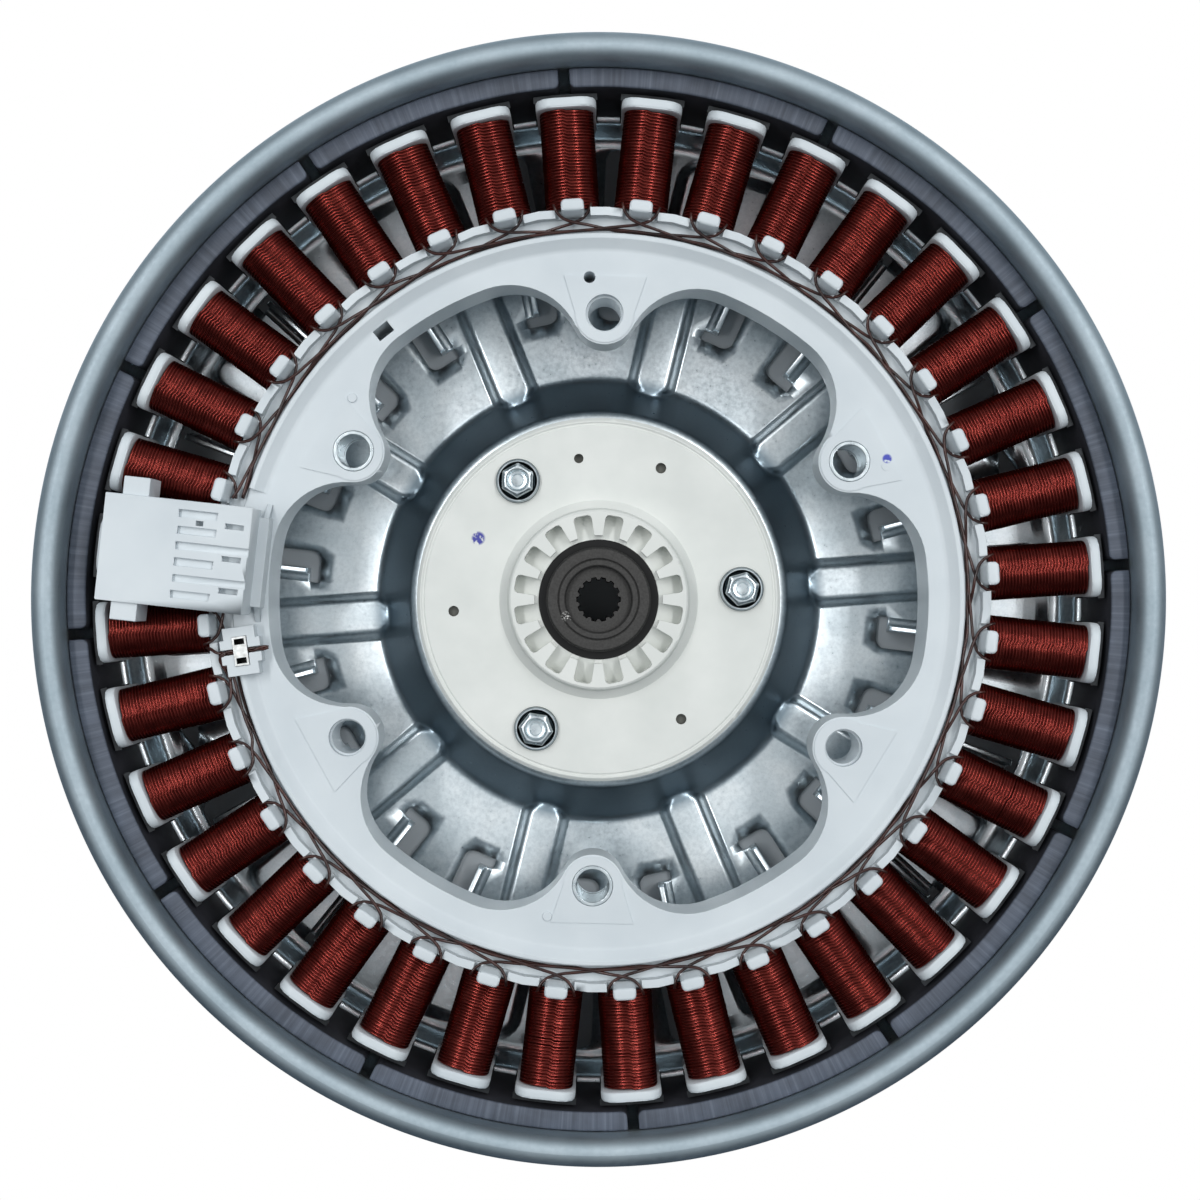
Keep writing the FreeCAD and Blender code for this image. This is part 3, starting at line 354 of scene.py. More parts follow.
def hub_plastic():
    """Mineral-filled moulding of the hub: warmer off-white, matt, with faint flow marks."""
    f = Finish("hub_plastic")
    patch = f.noise(16, 4)
    dot = f.product(f.spot(153, 36.0, HUB_TOP, 2.0), f.spread(f.noise(1.2, 2), 0.4, 0.5, 0.0, 1.0))
    face = f.blend(dot, f.ramp(patch, [(0.3, "#d7dad6"), (0.7, "#e3e5e1")]), linear("#3b3f9c"))
    # Painted shade: the four small holes are coloured dull grey inside
    height = f.height()
    radius = f.radius()
    shaded_hollow = f.product(f.rise(height, *HUB_HOLE_FLOOR), f.rise(height, *HUB_HOLE_MOUTH))
    ring = f.product(f.rise(radius, *HUB_HOLE_INNER), f.rise(radius, *HUB_HOLE_OUTER))
    f.shade(Base_Color=f.blend(f.product(shaded_hollow, ring), face, linear("#5c5d57")))
    f.shade(Roughness=0.52, IOR=1.52)
    f.bump(f.noise(0.7, 4), 0.03, 0.35)
    return f.material


def zinc_plate():
    """Bright zinc-plated steel with a faint blue chromate cast and small scuffs."""
    f = Finish("zinc_plate")
    scuff = f.noise(2.0, 3)
    skin = f.ramp(scuff, [(0.3, "#c2ccd1"), (0.7, "#d8e0e3")])
    # Painted shade in the corner between a bolt's flange and its hexagon
    height = f.height()
    gap = f.product(f.rise(height, HUB_TOP + 0.3, HUB_TOP + 0.4), f.rise(height, HUB_TOP + 1.3, HUB_TOP + 1.1))
    f.shade(Base_Color=f.blend(gap, skin, linear("#2c3438")))
    f.shade(Metallic=1.0, Roughness=f.spread(scuff, 0.3, 0.7, 0.26, 0.34))
    f.bump(scuff, 0.003, 0.1)
    return f.material


def dark_steel():
    """Sintered steel bush, steam-treated nearly black, with fine pores."""
    f = Finish("dark_steel")
    pore = f.noise(0.5, 4)
    face = f.ramp(pore, [(0.3, "#333231"), (0.7, "#454443")])
    # Painted shade: the chamfer round the bush's outer edge is coloured nearly black
    rim = f.rise(f.radius(), *BUSH_RIM)
    worn = f.product(f.spot(208, 9.6, BUSH_TOP, 1.5), f.spread(f.noise(0.5, 2), 0.52, 0.56, 0.0, 1.0))
    f.shade(Base_Color=f.blend(worn, f.blend(rim, face, linear("#111112")), linear("#c9c7c4")))
    f.shade(Metallic=0.5, Roughness=f.blend(rim, (0.55, 0.55, 0.55, 1), (0.38, 0.38, 0.38, 1)))
    f.bump(pore, 0.03, 0.5)
    return f.material


def lamination_steel():
    """Stacked electrical-steel laminations: dull grey edges with a line at each sheet."""
    f = Finish("lamination_steel")
    place = f.place()
    parts = f.add("ShaderNodeSeparateXYZ", _0=place)
    # 0.5 mm sheets are drawn at 1 mm so that their edges show
    wave = f.add("ShaderNodeMath", {"operation": "SINE"},
                 _0=f.spread(parts.outputs[2], 0.0, 1.0 * MM, 0.0, 2 * math.pi))
    wave.inputs[0].links[0].from_node.clamp = False
    f.shade(Base_Color=f.ramp(f.noise(2, 3), [(0.3, "#1f2123"), (0.7, "#303336")]))
    f.shade(Metallic=0.7, Roughness=0.5)
    f.bump(wave.outputs[0], 0.08, 0.6)
    return f.material


def tinned_brass():
    """Tinned brass strip, stamped: bright grey with dull patches."""
    f = Finish("tinned_brass")
    patch = f.noise(1.2, 3)
    bright = f.ramp(patch, [(0.3, "#b5b6b4"), (0.7, "#e2e4e4")])
    # The star point's clip is bright on top, with painted shade that makes its two pits black
    shaded_hollow = f.rise(f.height(), CLIP_TOP - 0.3, CLIP_TOP - 0.9)
    inner = f.rise(f.radius(), CLIP_OUTER + 0.1, CLIP_OUTER - 0.1)
    f.shade(Base_Color=f.blend(f.product(shaded_hollow, inner), bright, linear("#0b0b0c")))
    f.shade(Metallic=0.9, Roughness=0.28)
    return f.material


def floor_finish():
    """A plain floor: flat white to the camera around the motor, and matt grey with painted shade where it shows
    through the cup.
    Around the motor, what the cup's wall and rim mirror is a painted reflection, dark on the near side and pale
    on the far side."""
    f = Finish("floor_white")
    seen = f.add("ShaderNodeLightPath")
    around = f.add("ShaderNodeMath", {"operation": "GREATER_THAN"}, _0=f.radius(), _1=FLOOR_END * MM)
    both = f.product(around.outputs[0], seen.outputs["Is Camera Ray"])
    flat = f.add("ShaderNodeEmission", Color=linear("#ffffff"), Strength=1.0)
    mix = f.add("ShaderNodeMixShader", _0=both, _1=f.shader.outputs[0], _2=flat.outputs[0])
    # Painted reflection: around the motor the floor seen in the cup's wall and rim is dark on the near side and
    # pale on the far side
    far = f.add("ShaderNodeSeparateXYZ", _0=f.place()).outputs[1]
    painted_reflection = f.blend(f.rise(far, -REFLECTION_REACH, REFLECTION_REACH), linear("#2a4258"), linear("#d0dbe3"))
    # Painted shade: under the motor the floor is matt grey
    tone = f.blend(around.outputs[0], linear("#979ca0"), painted_reflection)
    f.shade(Base_Color=tone, Roughness=0.9)
    f.set(f.tree.nodes["Material Output"], Surface=mix.outputs[0])
    return f.material


FINISHES = {
    "galvanised_sheet": galvanised_sheet(),
    "ferrite": ferrite(),
    "enamelled_wire": wire_enamel(),
    "lead_wire": lead_wire(),
    "white_plastic": stator_plastic(),
    "hub_plastic": hub_plastic(),
    "zinc_steel": zinc_plate(),
    "dark_steel": dark_steel(),
    "lamination_steel": lamination_steel(),
    "tinned_brass": tinned_brass(),
}


def piece(name, points, faces, finish, body, replaced=()):
    """A mesh in world place from an array of points in millimetres and arrays of face corners."""
    mesh = bpy.data.meshes.new(name)
    sizes = np.concatenate([np.full(len(f), f.shape[1]) for f in faces])
    corners = np.concatenate([f.ravel() for f in faces]).astype(np.int32)
    mesh.vertices.add(len(points))
    mesh.vertices.foreach_set("co", (np.asarray(points, float) * MM).ravel())
    mesh.loops.add(len(corners))
    mesh.loops.foreach_set("vertex_index", corners)
    mesh.polygons.add(len(sizes))
    mesh.polygons.foreach_set("loop_start", np.concatenate([[0], np.cumsum(sizes)[:-1]]).astype(np.int32))
    mesh.polygons.foreach_set("use_smooth", np.ones(len(sizes), bool))
    mesh.update(calc_edges=True)
    mesh.validate()
    obj = bpy.data.objects.new(name, mesh)
    bpy.context.scene.collection.objects.link(obj)
    mesh.materials.append(FINISHES[finish])
    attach(obj, body)
    if replaced:
        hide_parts(*replaced)
    return obj


def grid_faces(rows, columns, wrap_rows=False, wrap_columns=False):
    """Quads of a grid of rows by columns, which may close on itself either way."""
    i = np.arange(rows if wrap_rows else rows - 1)[:, None]
    j = np.arange(columns if wrap_columns else columns - 1)[None]
    below = (i + 1) % rows
    right = (j + 1) % columns
    quads = np.stack([i * columns + j, i * columns + right, below * columns + right, below * columns + j], -1)
    return quads.reshape(-1, 4)


def merged(parts):
    """One array of points and a list of face arrays from several (points, faces) parts."""
    points = []
    faces = []
    count = 0
    for part_points, part_faces in parts:
        part_points = np.asarray(part_points).reshape(-1, 3)
        points.append(part_points)
        faces += [f + count for f in part_faces]
        count += len(part_points)
    return np.concatenate(points), faces


def turned(points, degrees):
    """Points turned round the motor's axis."""
    turn = math.radians(degrees)
    c, s = math.cos(turn), math.sin(turn)
    points = np.asarray(points, float)
    x = points[..., 0] * c - points[..., 1] * s
    y = points[..., 0] * s + points[..., 1] * c
    return np.stack([x, y, points[..., 2]], -1)


def rounded_path(corners, steps=5):
    """A path through corners (x, y, round) with each round as an arc of equal steps."""
    corners = [np.array(c, float) for c in corners]
    out = []
    for index, corner in enumerate(corners):
        here = corner[:2]
        if corner[2] <= 0 or index in (0, len(corners) - 1):
            out.append(here)
            continue
        a = corners[index - 1][:2] - here
        b = corners[index + 1][:2] - here
        a /= np.linalg.norm(a)
        b /= np.linalg.norm(b)
        half = math.acos(np.clip(a @ b, -1, 1)) / 2
        reach = corner[2] / math.tan(half)
        middle = (a + b) / np.linalg.norm(a + b)
        centre = here + middle * corner[2] / math.sin(half)
        start = here + a * reach - centre
        finish = here + b * reach - centre
        span = math.pi - 2 * half
        for t in np.linspace(0, 1, steps + 1):
            toward = start * math.sin((1 - t) * span) + finish * math.sin(t * span)
            out.append(centre + toward / math.sin(span))
    return np.array(out)


def smooth_step(t):
    t = np.clip(t, 0, 1)
    return t * t * (3 - 2 * t)


def cup_columns():
    """The grid's columns over half of one rib's share of the floor, as (base angle, side offset, lowest and
    highest radius at which the offset holds). Columns run parallel to the rib and to the vent."""
    half_sector = 180.0 / RIB_COUNT
    side = [(0.0, o, RIB_START, RIB_END) for o in (0.0, 1.2, 2.3, 3.3, 4.2, 4.9, 5.4, 5.8, 6.1, 6.4, 6.65, 7.2)]
    side += [(half_sector - VENT_SPREAD, o, VENT_START, VENT_END) for o in VENT_COLUMNS]
    side += [(half_sector, -o, VENT_START, VENT_END) for o in (3.6, 2.4, 1.2, 0.0)]
    return side


def cup_profile():
    """The pressed cup's upper surface from the hub's seat to the rolled rim's free edge: radius, height."""
    return rounded_path([
        (PLATE_HOLE, PLATE_HEIGHT, 0),
        (PLATE_RADIUS, PLATE_HEIGHT, 3.4),
        (CONE_FOOT, SHEET, 3.0),
        (FLOOR_END, SHEET, 3.0),
        (LEDGE_RADIUS, LEDGE_HEIGHT, 2.4),
        (WALL_RADIUS, LEDGE_HEIGHT, 0.8),
        (WALL_RADIUS, RIM_TOP, CURL - 0.01),
        (RIM_RADIUS, RIM_TOP, CURL - 0.01),
        (RIM_RADIUS, RIM_TOP - CURL - CURL_LEG, 0),
    ], 6)


def rotor_cup():
    """The cup as a grid: rows follow the profile, columns follow ribs and vents, and windows are left open."""
    profile = cup_profile()
    floor_rows = np.array([66, 70, 74, VENT_START, 78.4, 79.0, 79.7, 80.4, 81, 86, 92, 98, 104, 109, 112, 114,
                           115.5, 117, 118, 119, 120, 121, 122, 122.8, 123.4, 124.1, 124.8, 125.4, VENT_END])
    foot = np.argmax(profile[:, 0] > CONE_FOOT + 2)
    cone = profile[:foot]
    dense = [cone[0]]
    for a, b in zip(cone, cone[1:]):
        count = max(1, int(np.linalg.norm(b - a) / 1.1))
        if b[0] < PLATE_RADIUS - 4:
            count = 2
        dense += [a + (b - a) * k / count for k in range(1, count + 1)]
    rows = np.array(dense + [(r, SHEET) for r in floor_rows] + [tuple(p) for p in profile[foot:]])
    keep = np.concatenate([[True], np.linalg.norm(np.diff(rows, axis=0), axis=1) > 1e-4])
    rows = rows[keep]
    columns = cup_columns()
    radius = rows[:, 0][:, None]
    base = np.array([c[0] for c in columns])[None]
    offset = np.array([c[1] for c in columns])[None]
    held = np.clip(radius, np.array([c[2] for c in columns])[None], np.array([c[3] for c in columns])[None])
    # The window's outer corners are drawn in towards the vent's own line over their rounding radius
    into = np.minimum(radius - VENT_START, VENT_END - radius)
    short = np.clip(VENT_CORNER - into, 0, VENT_CORNER)
    pull = VENT_CORNER - np.sqrt(np.maximum(VENT_CORNER ** 2 - short ** 2, 0))
    pull = np.where(into < -0.01, 0, pull)
    part_in = np.clip((offset - VENT_COLUMNS[4]) / (VENT_HALF - VENT_COLUMNS[4]), 0, 1)
    part_in = part_in * (base < 170 / RIB_COUNT) * (base > 1)
    angle = np.radians(base) + np.arcsin((offset - pull * part_in) / held)
    # Beyond the vents the columns even out, so that the wall and the rolled rim are round
    even = np.linspace(0, math.pi / RIB_COUNT, len(columns))[None]
    share = smooth_step((radius - VENT_END) / (LEDGE_RADIUS - VENT_END))
    angle = angle + (even - angle) * share
    half_sector = math.pi / RIB_COUNT
    mirrored = 2 * half_sector - angle[:, ::-1][:, 1:-1]
    sector = np.concatenate([angle, mirrored], 1)
    count = sector.shape[1]
    across = np.where(sector > half_sector, 2 * half_sector - sector, sector)
    along_rib = radius * np.cos(across)
    beside_rib = radius * np.sin(across)
    near, far = RIB_START + RIB_HALF, RIB_END - RIB_HALF
    beyond = np.maximum(np.maximum(near - along_rib, along_rib - far), 0)
    distance = np.hypot(beyond, beside_rib)
    dome = 1 - (distance / RIB_HALF) ** 2
    rise = RIB_HEIGHT * smooth_step((RIB_HALF - distance) / 2.4) * (0.93 + 0.07 * dome)
    level = rows[:, 1][:, None] + 0 * sector
    pressed = SHEET + rise
    gap = level - pressed
    # Where the rib runs into the cone the higher surface wins, with a small blend between the two
    soft = 1.4
    blended = (level + pressed + np.sqrt(gap ** 2 + soft ** 2 * (rise > 0.01))) / 2
    raised = np.where(radius < LEDGE_RADIUS - 4, blended, level)
    height = np.where(rise > 0.01, raised, level)
    turns = np.concatenate([sector + 2 * half_sector * k for k in range(RIB_COUNT)], 1)
    turns = turns + math.radians(RIB_ANGLE)
    height = np.tile(height, (1, RIB_COUNT))
    spread = np.tile(radius, (1, height.shape[1]))
    points = np.stack([spread * np.cos(turns), spread * np.sin(turns), height], -1)
    total = height.shape[1]
    quads = grid_faces(len(rows), total, wrap_columns=True)
    first = len(columns) - 4 - len(VENT_COLUMNS)
    lane = np.arange(total) % (2 * len(columns) - 2)
    lane = np.minimum(lane, 2 * len(columns) - 3 - lane)
    middle = ((rows[:-1, 0] + rows[1:, 0]) / 2)[:, None]
    inside = (middle > VENT_START) & (middle < VENT_END) & (rows[:-1, 1] < PLATE_HEIGHT / 2)[:, None]
    ends = inside & ((middle < VENT_START + FIN_RELIEF) | (middle > VENT_END - FIN_RELIEF))
    window = inside & (lane >= first + 3) & (lane < first + 6)
    window |= ends & (lane >= first) & (lane < first + 3)
    window = window.ravel()
    quads = quads[~window]
    points = points.reshape(-1, 3)
    for k in (0, 1):
        a = math.radians(RIB_ANGLE + 180 / RIB_COUNT + 180 * k)
        centre = np.array([HOLE_CIRCLE * math.cos(a), HOLE_CIRCLE * math.sin(a)])
        away = points[:, :2] - centre
        d = np.hypot(away[:, 0], away[:, 1])
        near_hole = d < HOLE_RADIUS
        lost = near_hole[quads].any(1)
        rim = np.unique(quads[lost])
        rim = rim[~near_hole[rim]]
        points[rim, :2] = centre + away[rim] / d[rim][:, None] * HOLE_RADIUS
        quads = quads[~lost]
    used, inverse = np.unique(quads, return_inverse=True)
    cup = piece("rotor_cup", points[used], [inverse.reshape(-1, 4)[:, ::-1]], "galvanised_sheet", "rotor",
                ["rotor_frame"])
    wall = cup.modifiers.new("sheet", "SOLIDIFY")
    wall.thickness = SHEET * MM
    wall.offset = -1.0
    wall.use_even_offset = False
    return cup


def sweep(sections, closed=False):
    """A tube of cross-sections (stations, corners, 3), closed on itself or capped at both ends."""
    stations, corners = sections.shape[:2]
    faces = [grid_faces(stations, corners, wrap_rows=closed, wrap_columns=True)]
    if not closed:
        faces.append(np.arange(corners)[None, ::-1])
        faces.append(np.arange(corners)[None] + (stations - 1) * corners)
    return sections.reshape(-1, 3), faces


def vent_fins():
    """Each fin is an upright strip bent out of the floor, with a rounded free edge and a bend at its foot."""
    high = SHEET + FIN_RISE
    inner = rounded_path([(-VENT_HALF, SHEET + 0.02, 0), (-FIN_EDGE - SHEET, SHEET + 0.02, 1.0),
                          (-FIN_EDGE - SHEET, high, 0.5), (-FIN_EDGE, high, 0.5), (-FIN_EDGE, 0.02, 1.5),
                          (-VENT_HALF, 0.02, 0)], 4)
    reach = np.array([VENT_START + FIN_RELIEF, VENT_START + FIN_RELIEF + 0.4, VENT_END - FIN_RELIEF - 0.4,
                      VENT_END - FIN_RELIEF])
    trim = np.array([0.4, 0.0, 0.0, 0.4])
    parts = []
    for k in range(RIB_COUNT):
        for side in (1, -1):
            x = reach[:, None] + 0 * inner[None, :, 0]
            y = side * inner[None, :, 0] + 0 * x
            z = np.minimum(inner[None, :, 1], high - trim[:, None]) + 0 * x
            ring = np.stack([x, y, z], -1)
            if side > 0:
                ring = ring[:, ::-1]
            turn = RIB_ANGLE + 360 / RIB_COUNT * (k + 0.5) - side * VENT_SPREAD
            parts.append(sweep(turned(ring, turn)))
    points, faces = merged(parts)
    return piece("vent_fins", points, faces, "galvanised_sheet", "rotor")


def magnets():
    """Each magnet is a rounded bar section swept round its share of the wall, drawn in at both ends."""
    half = 180.0 / MAGNET_COUNT - math.degrees(MAGNET_GAP / 2 / MAGNET_INNER)
    start = (MAGNET_OUTER - 2.0, MAGNET_BASE, 0)
    section = rounded_path([
        start, (MAGNET_OUTER, MAGNET_BASE, 0.5), (MAGNET_OUTER, MAGNET_TOP, 0.7), (MAGNET_INNER, MAGNET_TOP, 0.6),
        (MAGNET_INNER, MAGNET_BASE, 0.6), start,
    ], 3)[:-1]
    centre = np.array([(MAGNET_OUTER + MAGNET_INNER) / 2, (MAGNET_BASE + MAGNET_TOP) / 2])
    corner = 1.5
    for index in range(MAGNET_COUNT):
        stations = []
        turns = []
        for t in np.linspace(0, 90, 5):
            stations.append(corner * (1 - math.sin(math.radians(t))))
            turns.append(-half + math.degrees(corner * (1 - math.cos(math.radians(t))) / MAGNET_INNER))
        middle = list(np.linspace(turns[-1], -turns[-1], 25)[1:-1])
        shrink = np.array(stations + [0.0] * len(middle) + stations[::-1])
        turn = np.radians(np.array(turns + middle + [-a for a in turns[::-1]]))
        away = section - centre
        # Only the inner face's corners are bevelled; the outer face keeps its width on the wall
        radial = section[None, :, 0] + shrink[:, None] * (away[None, :, 0] < 0)
        high = section[None, :, 1] - 0.3 * shrink[:, None] * np.sign(away[None, :, 1])
        ring = np.stack([radial * np.cos(turn)[:, None], radial * np.sin(turn)[:, None], high], -1)
        points, faces = sweep(turned(ring, MAGNET_ANGLE + 360 / MAGNET_COUNT * index))
        number = "%02d" % (index + 1)
        piece("magnet_block_" + number, points, faces, "ferrite", "rotor", ["magnet_" + number])


def coil_loop():
    """The outline of a coil's outer layer, across and up, from its top middle round by the left. Its top and
    bottom are crowned, and a tighter arc leads each shoulder into the straight side."""
    swing = math.asin(COIL_SHOULDER / COIL_CROWN)
    corner = (COIL_HALF - COIL_SHOULDER) / (1 - math.sin(swing))
    crown = np.linspace(0, swing, 6)[:-1]
    side = np.linspace(swing, math.pi / 2, 6)
    across = np.concatenate([COIL_CROWN * np.sin(crown), COIL_HALF - corner * (1 - np.sin(side))])
    drop = np.concatenate([COIL_CROWN * (1 - np.cos(crown)),
                           COIL_CROWN * (1 - math.cos(swing)) + corner * (math.cos(swing) - np.cos(side))])
    top = np.stack([across, COIL_TOP - drop], -1)
    bottom = np.stack([across, COIL_BASE + drop], -1)[::2]
    left = np.array([-1, 1])
    return np.concatenate([top * left, (bottom * left)[::-1], bottom[1:], top[:0:-1]])


def coil(seed):
    """One coil as a closed surface: its outside is ribbed by the turns, a little uneven from turn to turn."""
    rng = np.random.default_rng(seed)
    loop = coil_loop()
    steps = 7
    pitch = (COIL_END - COIL_START) / COIL_TURNS
    lift = rng.normal(0, 0.012, COIL_TURNS)
    shift = rng.normal(0, 0.01, COIL_TURNS)
    t = np.linspace(-0.96, 0.96, steps)
    crown = WIRE * np.sqrt(1 - t ** 2) - WIRE
    along = []
    inset = []
    for turn in range(COIL_TURNS):
        along += list(COIL_START + (turn + 0.5 + t / 2) * pitch + shift[turn])
        inset += list(crown + lift[turn] - 0.08)
    along = np.clip(np.array(along), COIL_START, COIL_END)
    inset = np.array(inset)
    centre = np.array([0, (COIL_TOP + COIL_BASE) / 2])
    away = loop - centre
    normal = np.stack([np.gradient(loop[:, 1]), -np.gradient(loop[:, 0])], -1)
    normal /= np.linalg.norm(normal, axis=1)[:, None]
    normal *= np.sign((normal * away).sum(1))[:, None]
    shape = loop[None] + normal[None] * inset[:, None, None]
    # Each turn climbs by one pitch as it goes round, which leans the wires a little on the coil's top
    lean = pitch * (np.arange(len(loop)) / len(loop) - 0.5)
    lean = np.where(np.abs(loop[:, 0]) > COIL_HALF - 0.1, 0, lean) * 0.6
    x = along[:, None] + lean[None]
    x = np.clip(x, COIL_START, COIL_END)
    outer = np.stack([x, shape[..., 0], shape[..., 1]], -1)
    bore = np.stack([np.clip(loop[:, 0], -BORE_HALF, BORE_HALF),
                     np.clip(loop[:, 1], CORE_BASE - 1.1, CORE_TOP + 1.1)], -1)
    ends = [np.concatenate([np.full((len(loop), 1), place), bore], 1) for place in (COIL_START, COIL_END)]
    rows = np.concatenate([ends[0][None], outer, ends[1][None]], 0)
    points = rows.reshape(-1, 3)
    faces = [grid_faces(len(rows), len(loop), wrap_rows=True, wrap_columns=True)]
    return points, faces


def windings():
    """The coils of each phase: every third tooth."""
    for phase, name in enumerate(("u", "v", "w")):
        parts = []
        for k in range(phase, COIL_COUNT, 3):
            points, faces = coil(100 + k)
            parts.append((turned(points, COIL_ANGLE + 360 / COIL_COUNT * k), faces))
        points, faces = merged(parts)
        piece("coils_" + name, points, faces, "enamelled_wire", "stator", ["winding_" + name])


def tube(path, radius, sides=7):
    """A round wire carried along a path of points, with its section square to the path at each point."""
    path = np.asarray(path, float)
    ahead = np.gradient(path, axis=0)
    ahead /= np.linalg.norm(ahead, axis=1)[:, None]
    up = np.array([0, 0, 1.0])
    side = np.cross(ahead, up)
    side /= np.linalg.norm(side, axis=1)[:, None]
    lift = np.cross(side, ahead)
    turn = np.linspace(0, 2 * math.pi, sides, endpoint=False)
    across = np.cos(turn)[None, :, None] * side[:, None]
    upward = np.sin(turn)[None, :, None] * lift[:, None]
    ring = path[:, None] + radius * (across + upward)
    return sweep(ring[:, ::-1])


def smooth_path(points, per_run=6):
    """A smooth line through given points: each run is a cubic that shares its neighbours' slope."""
    p = np.asarray(points, float)
    p = np.concatenate([[2 * p[0] - p[1]], p, [2 * p[-1] - p[-2]]])
    out = []
    for i in range(1, len(p) - 2):
        t = (np.arange(per_run) / per_run)[:, None]
        a, b, c, d = p[i - 1], p[i], p[i + 1], p[i + 2]
        square = (2 * a - 5 * b + 4 * c - d) * t ** 2
        cube = (3 * b - a - 3 * c + d) * t ** 3
        out.append(0.5 * (2 * b + (c - a) * t + square + cube))
    out.append(p[-2][None])
    return np.concatenate(out)


def crossovers():
    """The wires between the coils of a phase. Each leaves its coil through the notch beside the peg, crosses
    behind the peg, runs along the channel past two pegs and enters the third coil the same way."""
    step = 360 / COIL_COUNT
    degree = math.radians(1)
    # sideways from the coil's middle line, radius and height: over the wall, behind the peg, into the channel
    leave = [(-4.9, 102.2, 40.6), (-4.5, 101.0, 41.1), (-3.8, 99.7, 41.0), (-2.4, 98.3, 40.8),
             (0.0, 97.3, 40.7), (3.0, 96.6, 40.6)]
    for phase, name in enumerate(("u", "v", "w")):
        parts = []
        for k in range(phase, COIL_COUNT, 3):
            rng = np.random.default_rng(400 + k)
            path = []
            for side, radius, height in leave:
                path.append((side / radius / degree, radius, height))
            along = CHANNEL_RADIUS + rng.normal(0, 0.12, 5)
            level = CORE_TOP + 1.9 + 2.05 * WIRE * phase
            for turn, radius in zip((7.0, 11.0, 15.0, 19.0, 23.0), along):
                path.append((turn, radius, level + rng.normal(0, 0.05)))
            for side, radius, height in leave[::-1]:
                path.append((3 * step - side / radius / degree, radius, height + 0.86))
            start = COIL_ANGLE + step * k
            line = smooth_path([(start + turn, radius, height) for turn, radius, height in path])
            # Wires that pass under the plug are drawn up to its edges; two phases end there
            runs = [line]
            if HIDDEN_PEG - 5 <= k <= HIDDEN_PEG:
                runs = [line[line[:, 0] < PLUG_SPAN[0]]]
                if k == HIDDEN_PEG - 2:
                    runs.append(line[line[:, 0] > PLUG_SPAN[1]])
            for run in runs:
                if len(run) > 2:
                    parts.append(tube(unrolled(run), WIRE))
        points, faces = merged(parts)
        piece("crossovers_" + name, points, faces, "lead_wire", "stator")


def unrolled(line):
    """Points given as angle in degrees, radius and height, as x, y, z."""
    turn = np.radians(line[:, 0])
    return np.stack([line[:, 1] * np.cos(turn), line[:, 1] * np.sin(turn), line[:, 2]], -1)


def star_leads():
    """The wires that meet at the star point. Each comes out beside its peg and runs back along the channel
    into the clip, and the twisted ends stand out beyond it."""
    degree = math.radians(1)
    notch = [(4.9, 102.2, 41.4), (4.5, 101.0, 41.9), (3.6, 99.5, 41.9), (2.0, 98.0, 41.7), (-0.6, 97.2, 41.5)]
    parts = []
    for index, coil_number in enumerate((19, 20)):
        peg = COIL_ANGLE + 360 / COIL_COUNT * coil_number
        path = [(peg + side / radius / degree, radius, height) for side, radius, height in notch]
        lane = 96.9 - 0.95 * index
        for turn in np.linspace(peg - 2.2, STAR_ANGLE + 4.2, 2 + 2 * index):
            path.append((turn, lane, 41.6 - 0.2 * index))
        path += [(STAR_ANGLE + 2.6, lane + 0.7, 42.0), (STAR_ANGLE + 1.0, 98.3, 43.0),
                 (STAR_ANGLE + 0.1, 97.6 - index, 43.4)]
        parts.append(tube(unrolled(smooth_path(path)), WIRE))
    short = [(STAR_ANGLE - 1.2, 101.6, 41.6), (STAR_ANGLE - 0.9, 100.4, 42.4), (STAR_ANGLE - 0.3, 99.0, 43.1),
             (STAR_ANGLE, 97.6, 43.4)]
    parts.append(tube(unrolled(smooth_path(short)), WIRE))
    along = np.linspace(0, 1, 30)
    for strand in range(2):
        twist = along * 14 + math.pi * strand
        radius = TWIST_START - TWIST_LENGTH * along
        side = TWIST_RADIUS * np.cos(twist)
        high = 43.2 + TWIST_RADIUS * np.sin(twist) - 0.5 * along
        line = turned(np.stack([radius, side, high], -1), STAR_ANGLE)
        parts.append(tube(line, TWIST_WIRE, 6))
    points, faces = merged(parts)
    return piece("star_leads", points, faces, "lead_wire", "stator")


def peg_caps():
    """The soft-edged heads of the pegs, a hair larger than the plain blocks of the moulding inside them."""
    parts = []
    inner, outer = PEG_FOOT, PEG_FOOT + PEG_WALL + PEG_REACH
    # height over the core, inner radius, outer radius, rounding still to come
    levels = [(PEG_NECK - 2.0, inner, inner + PEG_WALL + 0.1, 0.0),
              (PEG_NECK, inner, inner + PEG_WALL + 0.1, 0.0),
              (PEG_NECK + 0.3, inner + 0.05, outer - 0.2, 0.0),
              (PEG_NECK + 0.7, inner + 0.15, outer + PEG_GROW, 0.0)]
    head = outer - PEG_HEAD
    for t in np.linspace(0, 90, 6):
        drop = PEG_ROUND * (1 - math.sin(math.radians(t)))
        into = PEG_ROUND * (1 - math.cos(math.radians(t)))
        levels.append((PEG_TOP + PEG_GROW - drop, head - 2 * PEG_GROW, outer + PEG_GROW, into))
    corner = [math.radians(a) for a in (0, 22, 45, 68, 90)]
    rings = []
    for height, low, high, into in levels:
        half = PEG_HALF + PEG_GROW - into
        r = max(PEG_CORNER - into, 0.25)
        ring = []
        for quarter, (x, y) in enumerate(((high - into - r, half - r), (low + into + r, half - r),
                                          (low + into + r, r - half), (high - into - r, r - half))):
            for a in corner:
                turn = a + quarter * math.pi / 2
                ring.append((x + r * math.cos(turn), y + r * math.sin(turn), CORE_TOP + height))
        rings.append(ring)
    rings = np.array(rings)
    for k in range(COIL_COUNT):
        if k != HIDDEN_PEG:
            parts.append(sweep(turned(rings, COIL_ANGLE + 360 / COIL_COUNT * k)))
    points, faces = merged(parts)
    return piece("pegs", points, faces, "white_plastic", "stator")


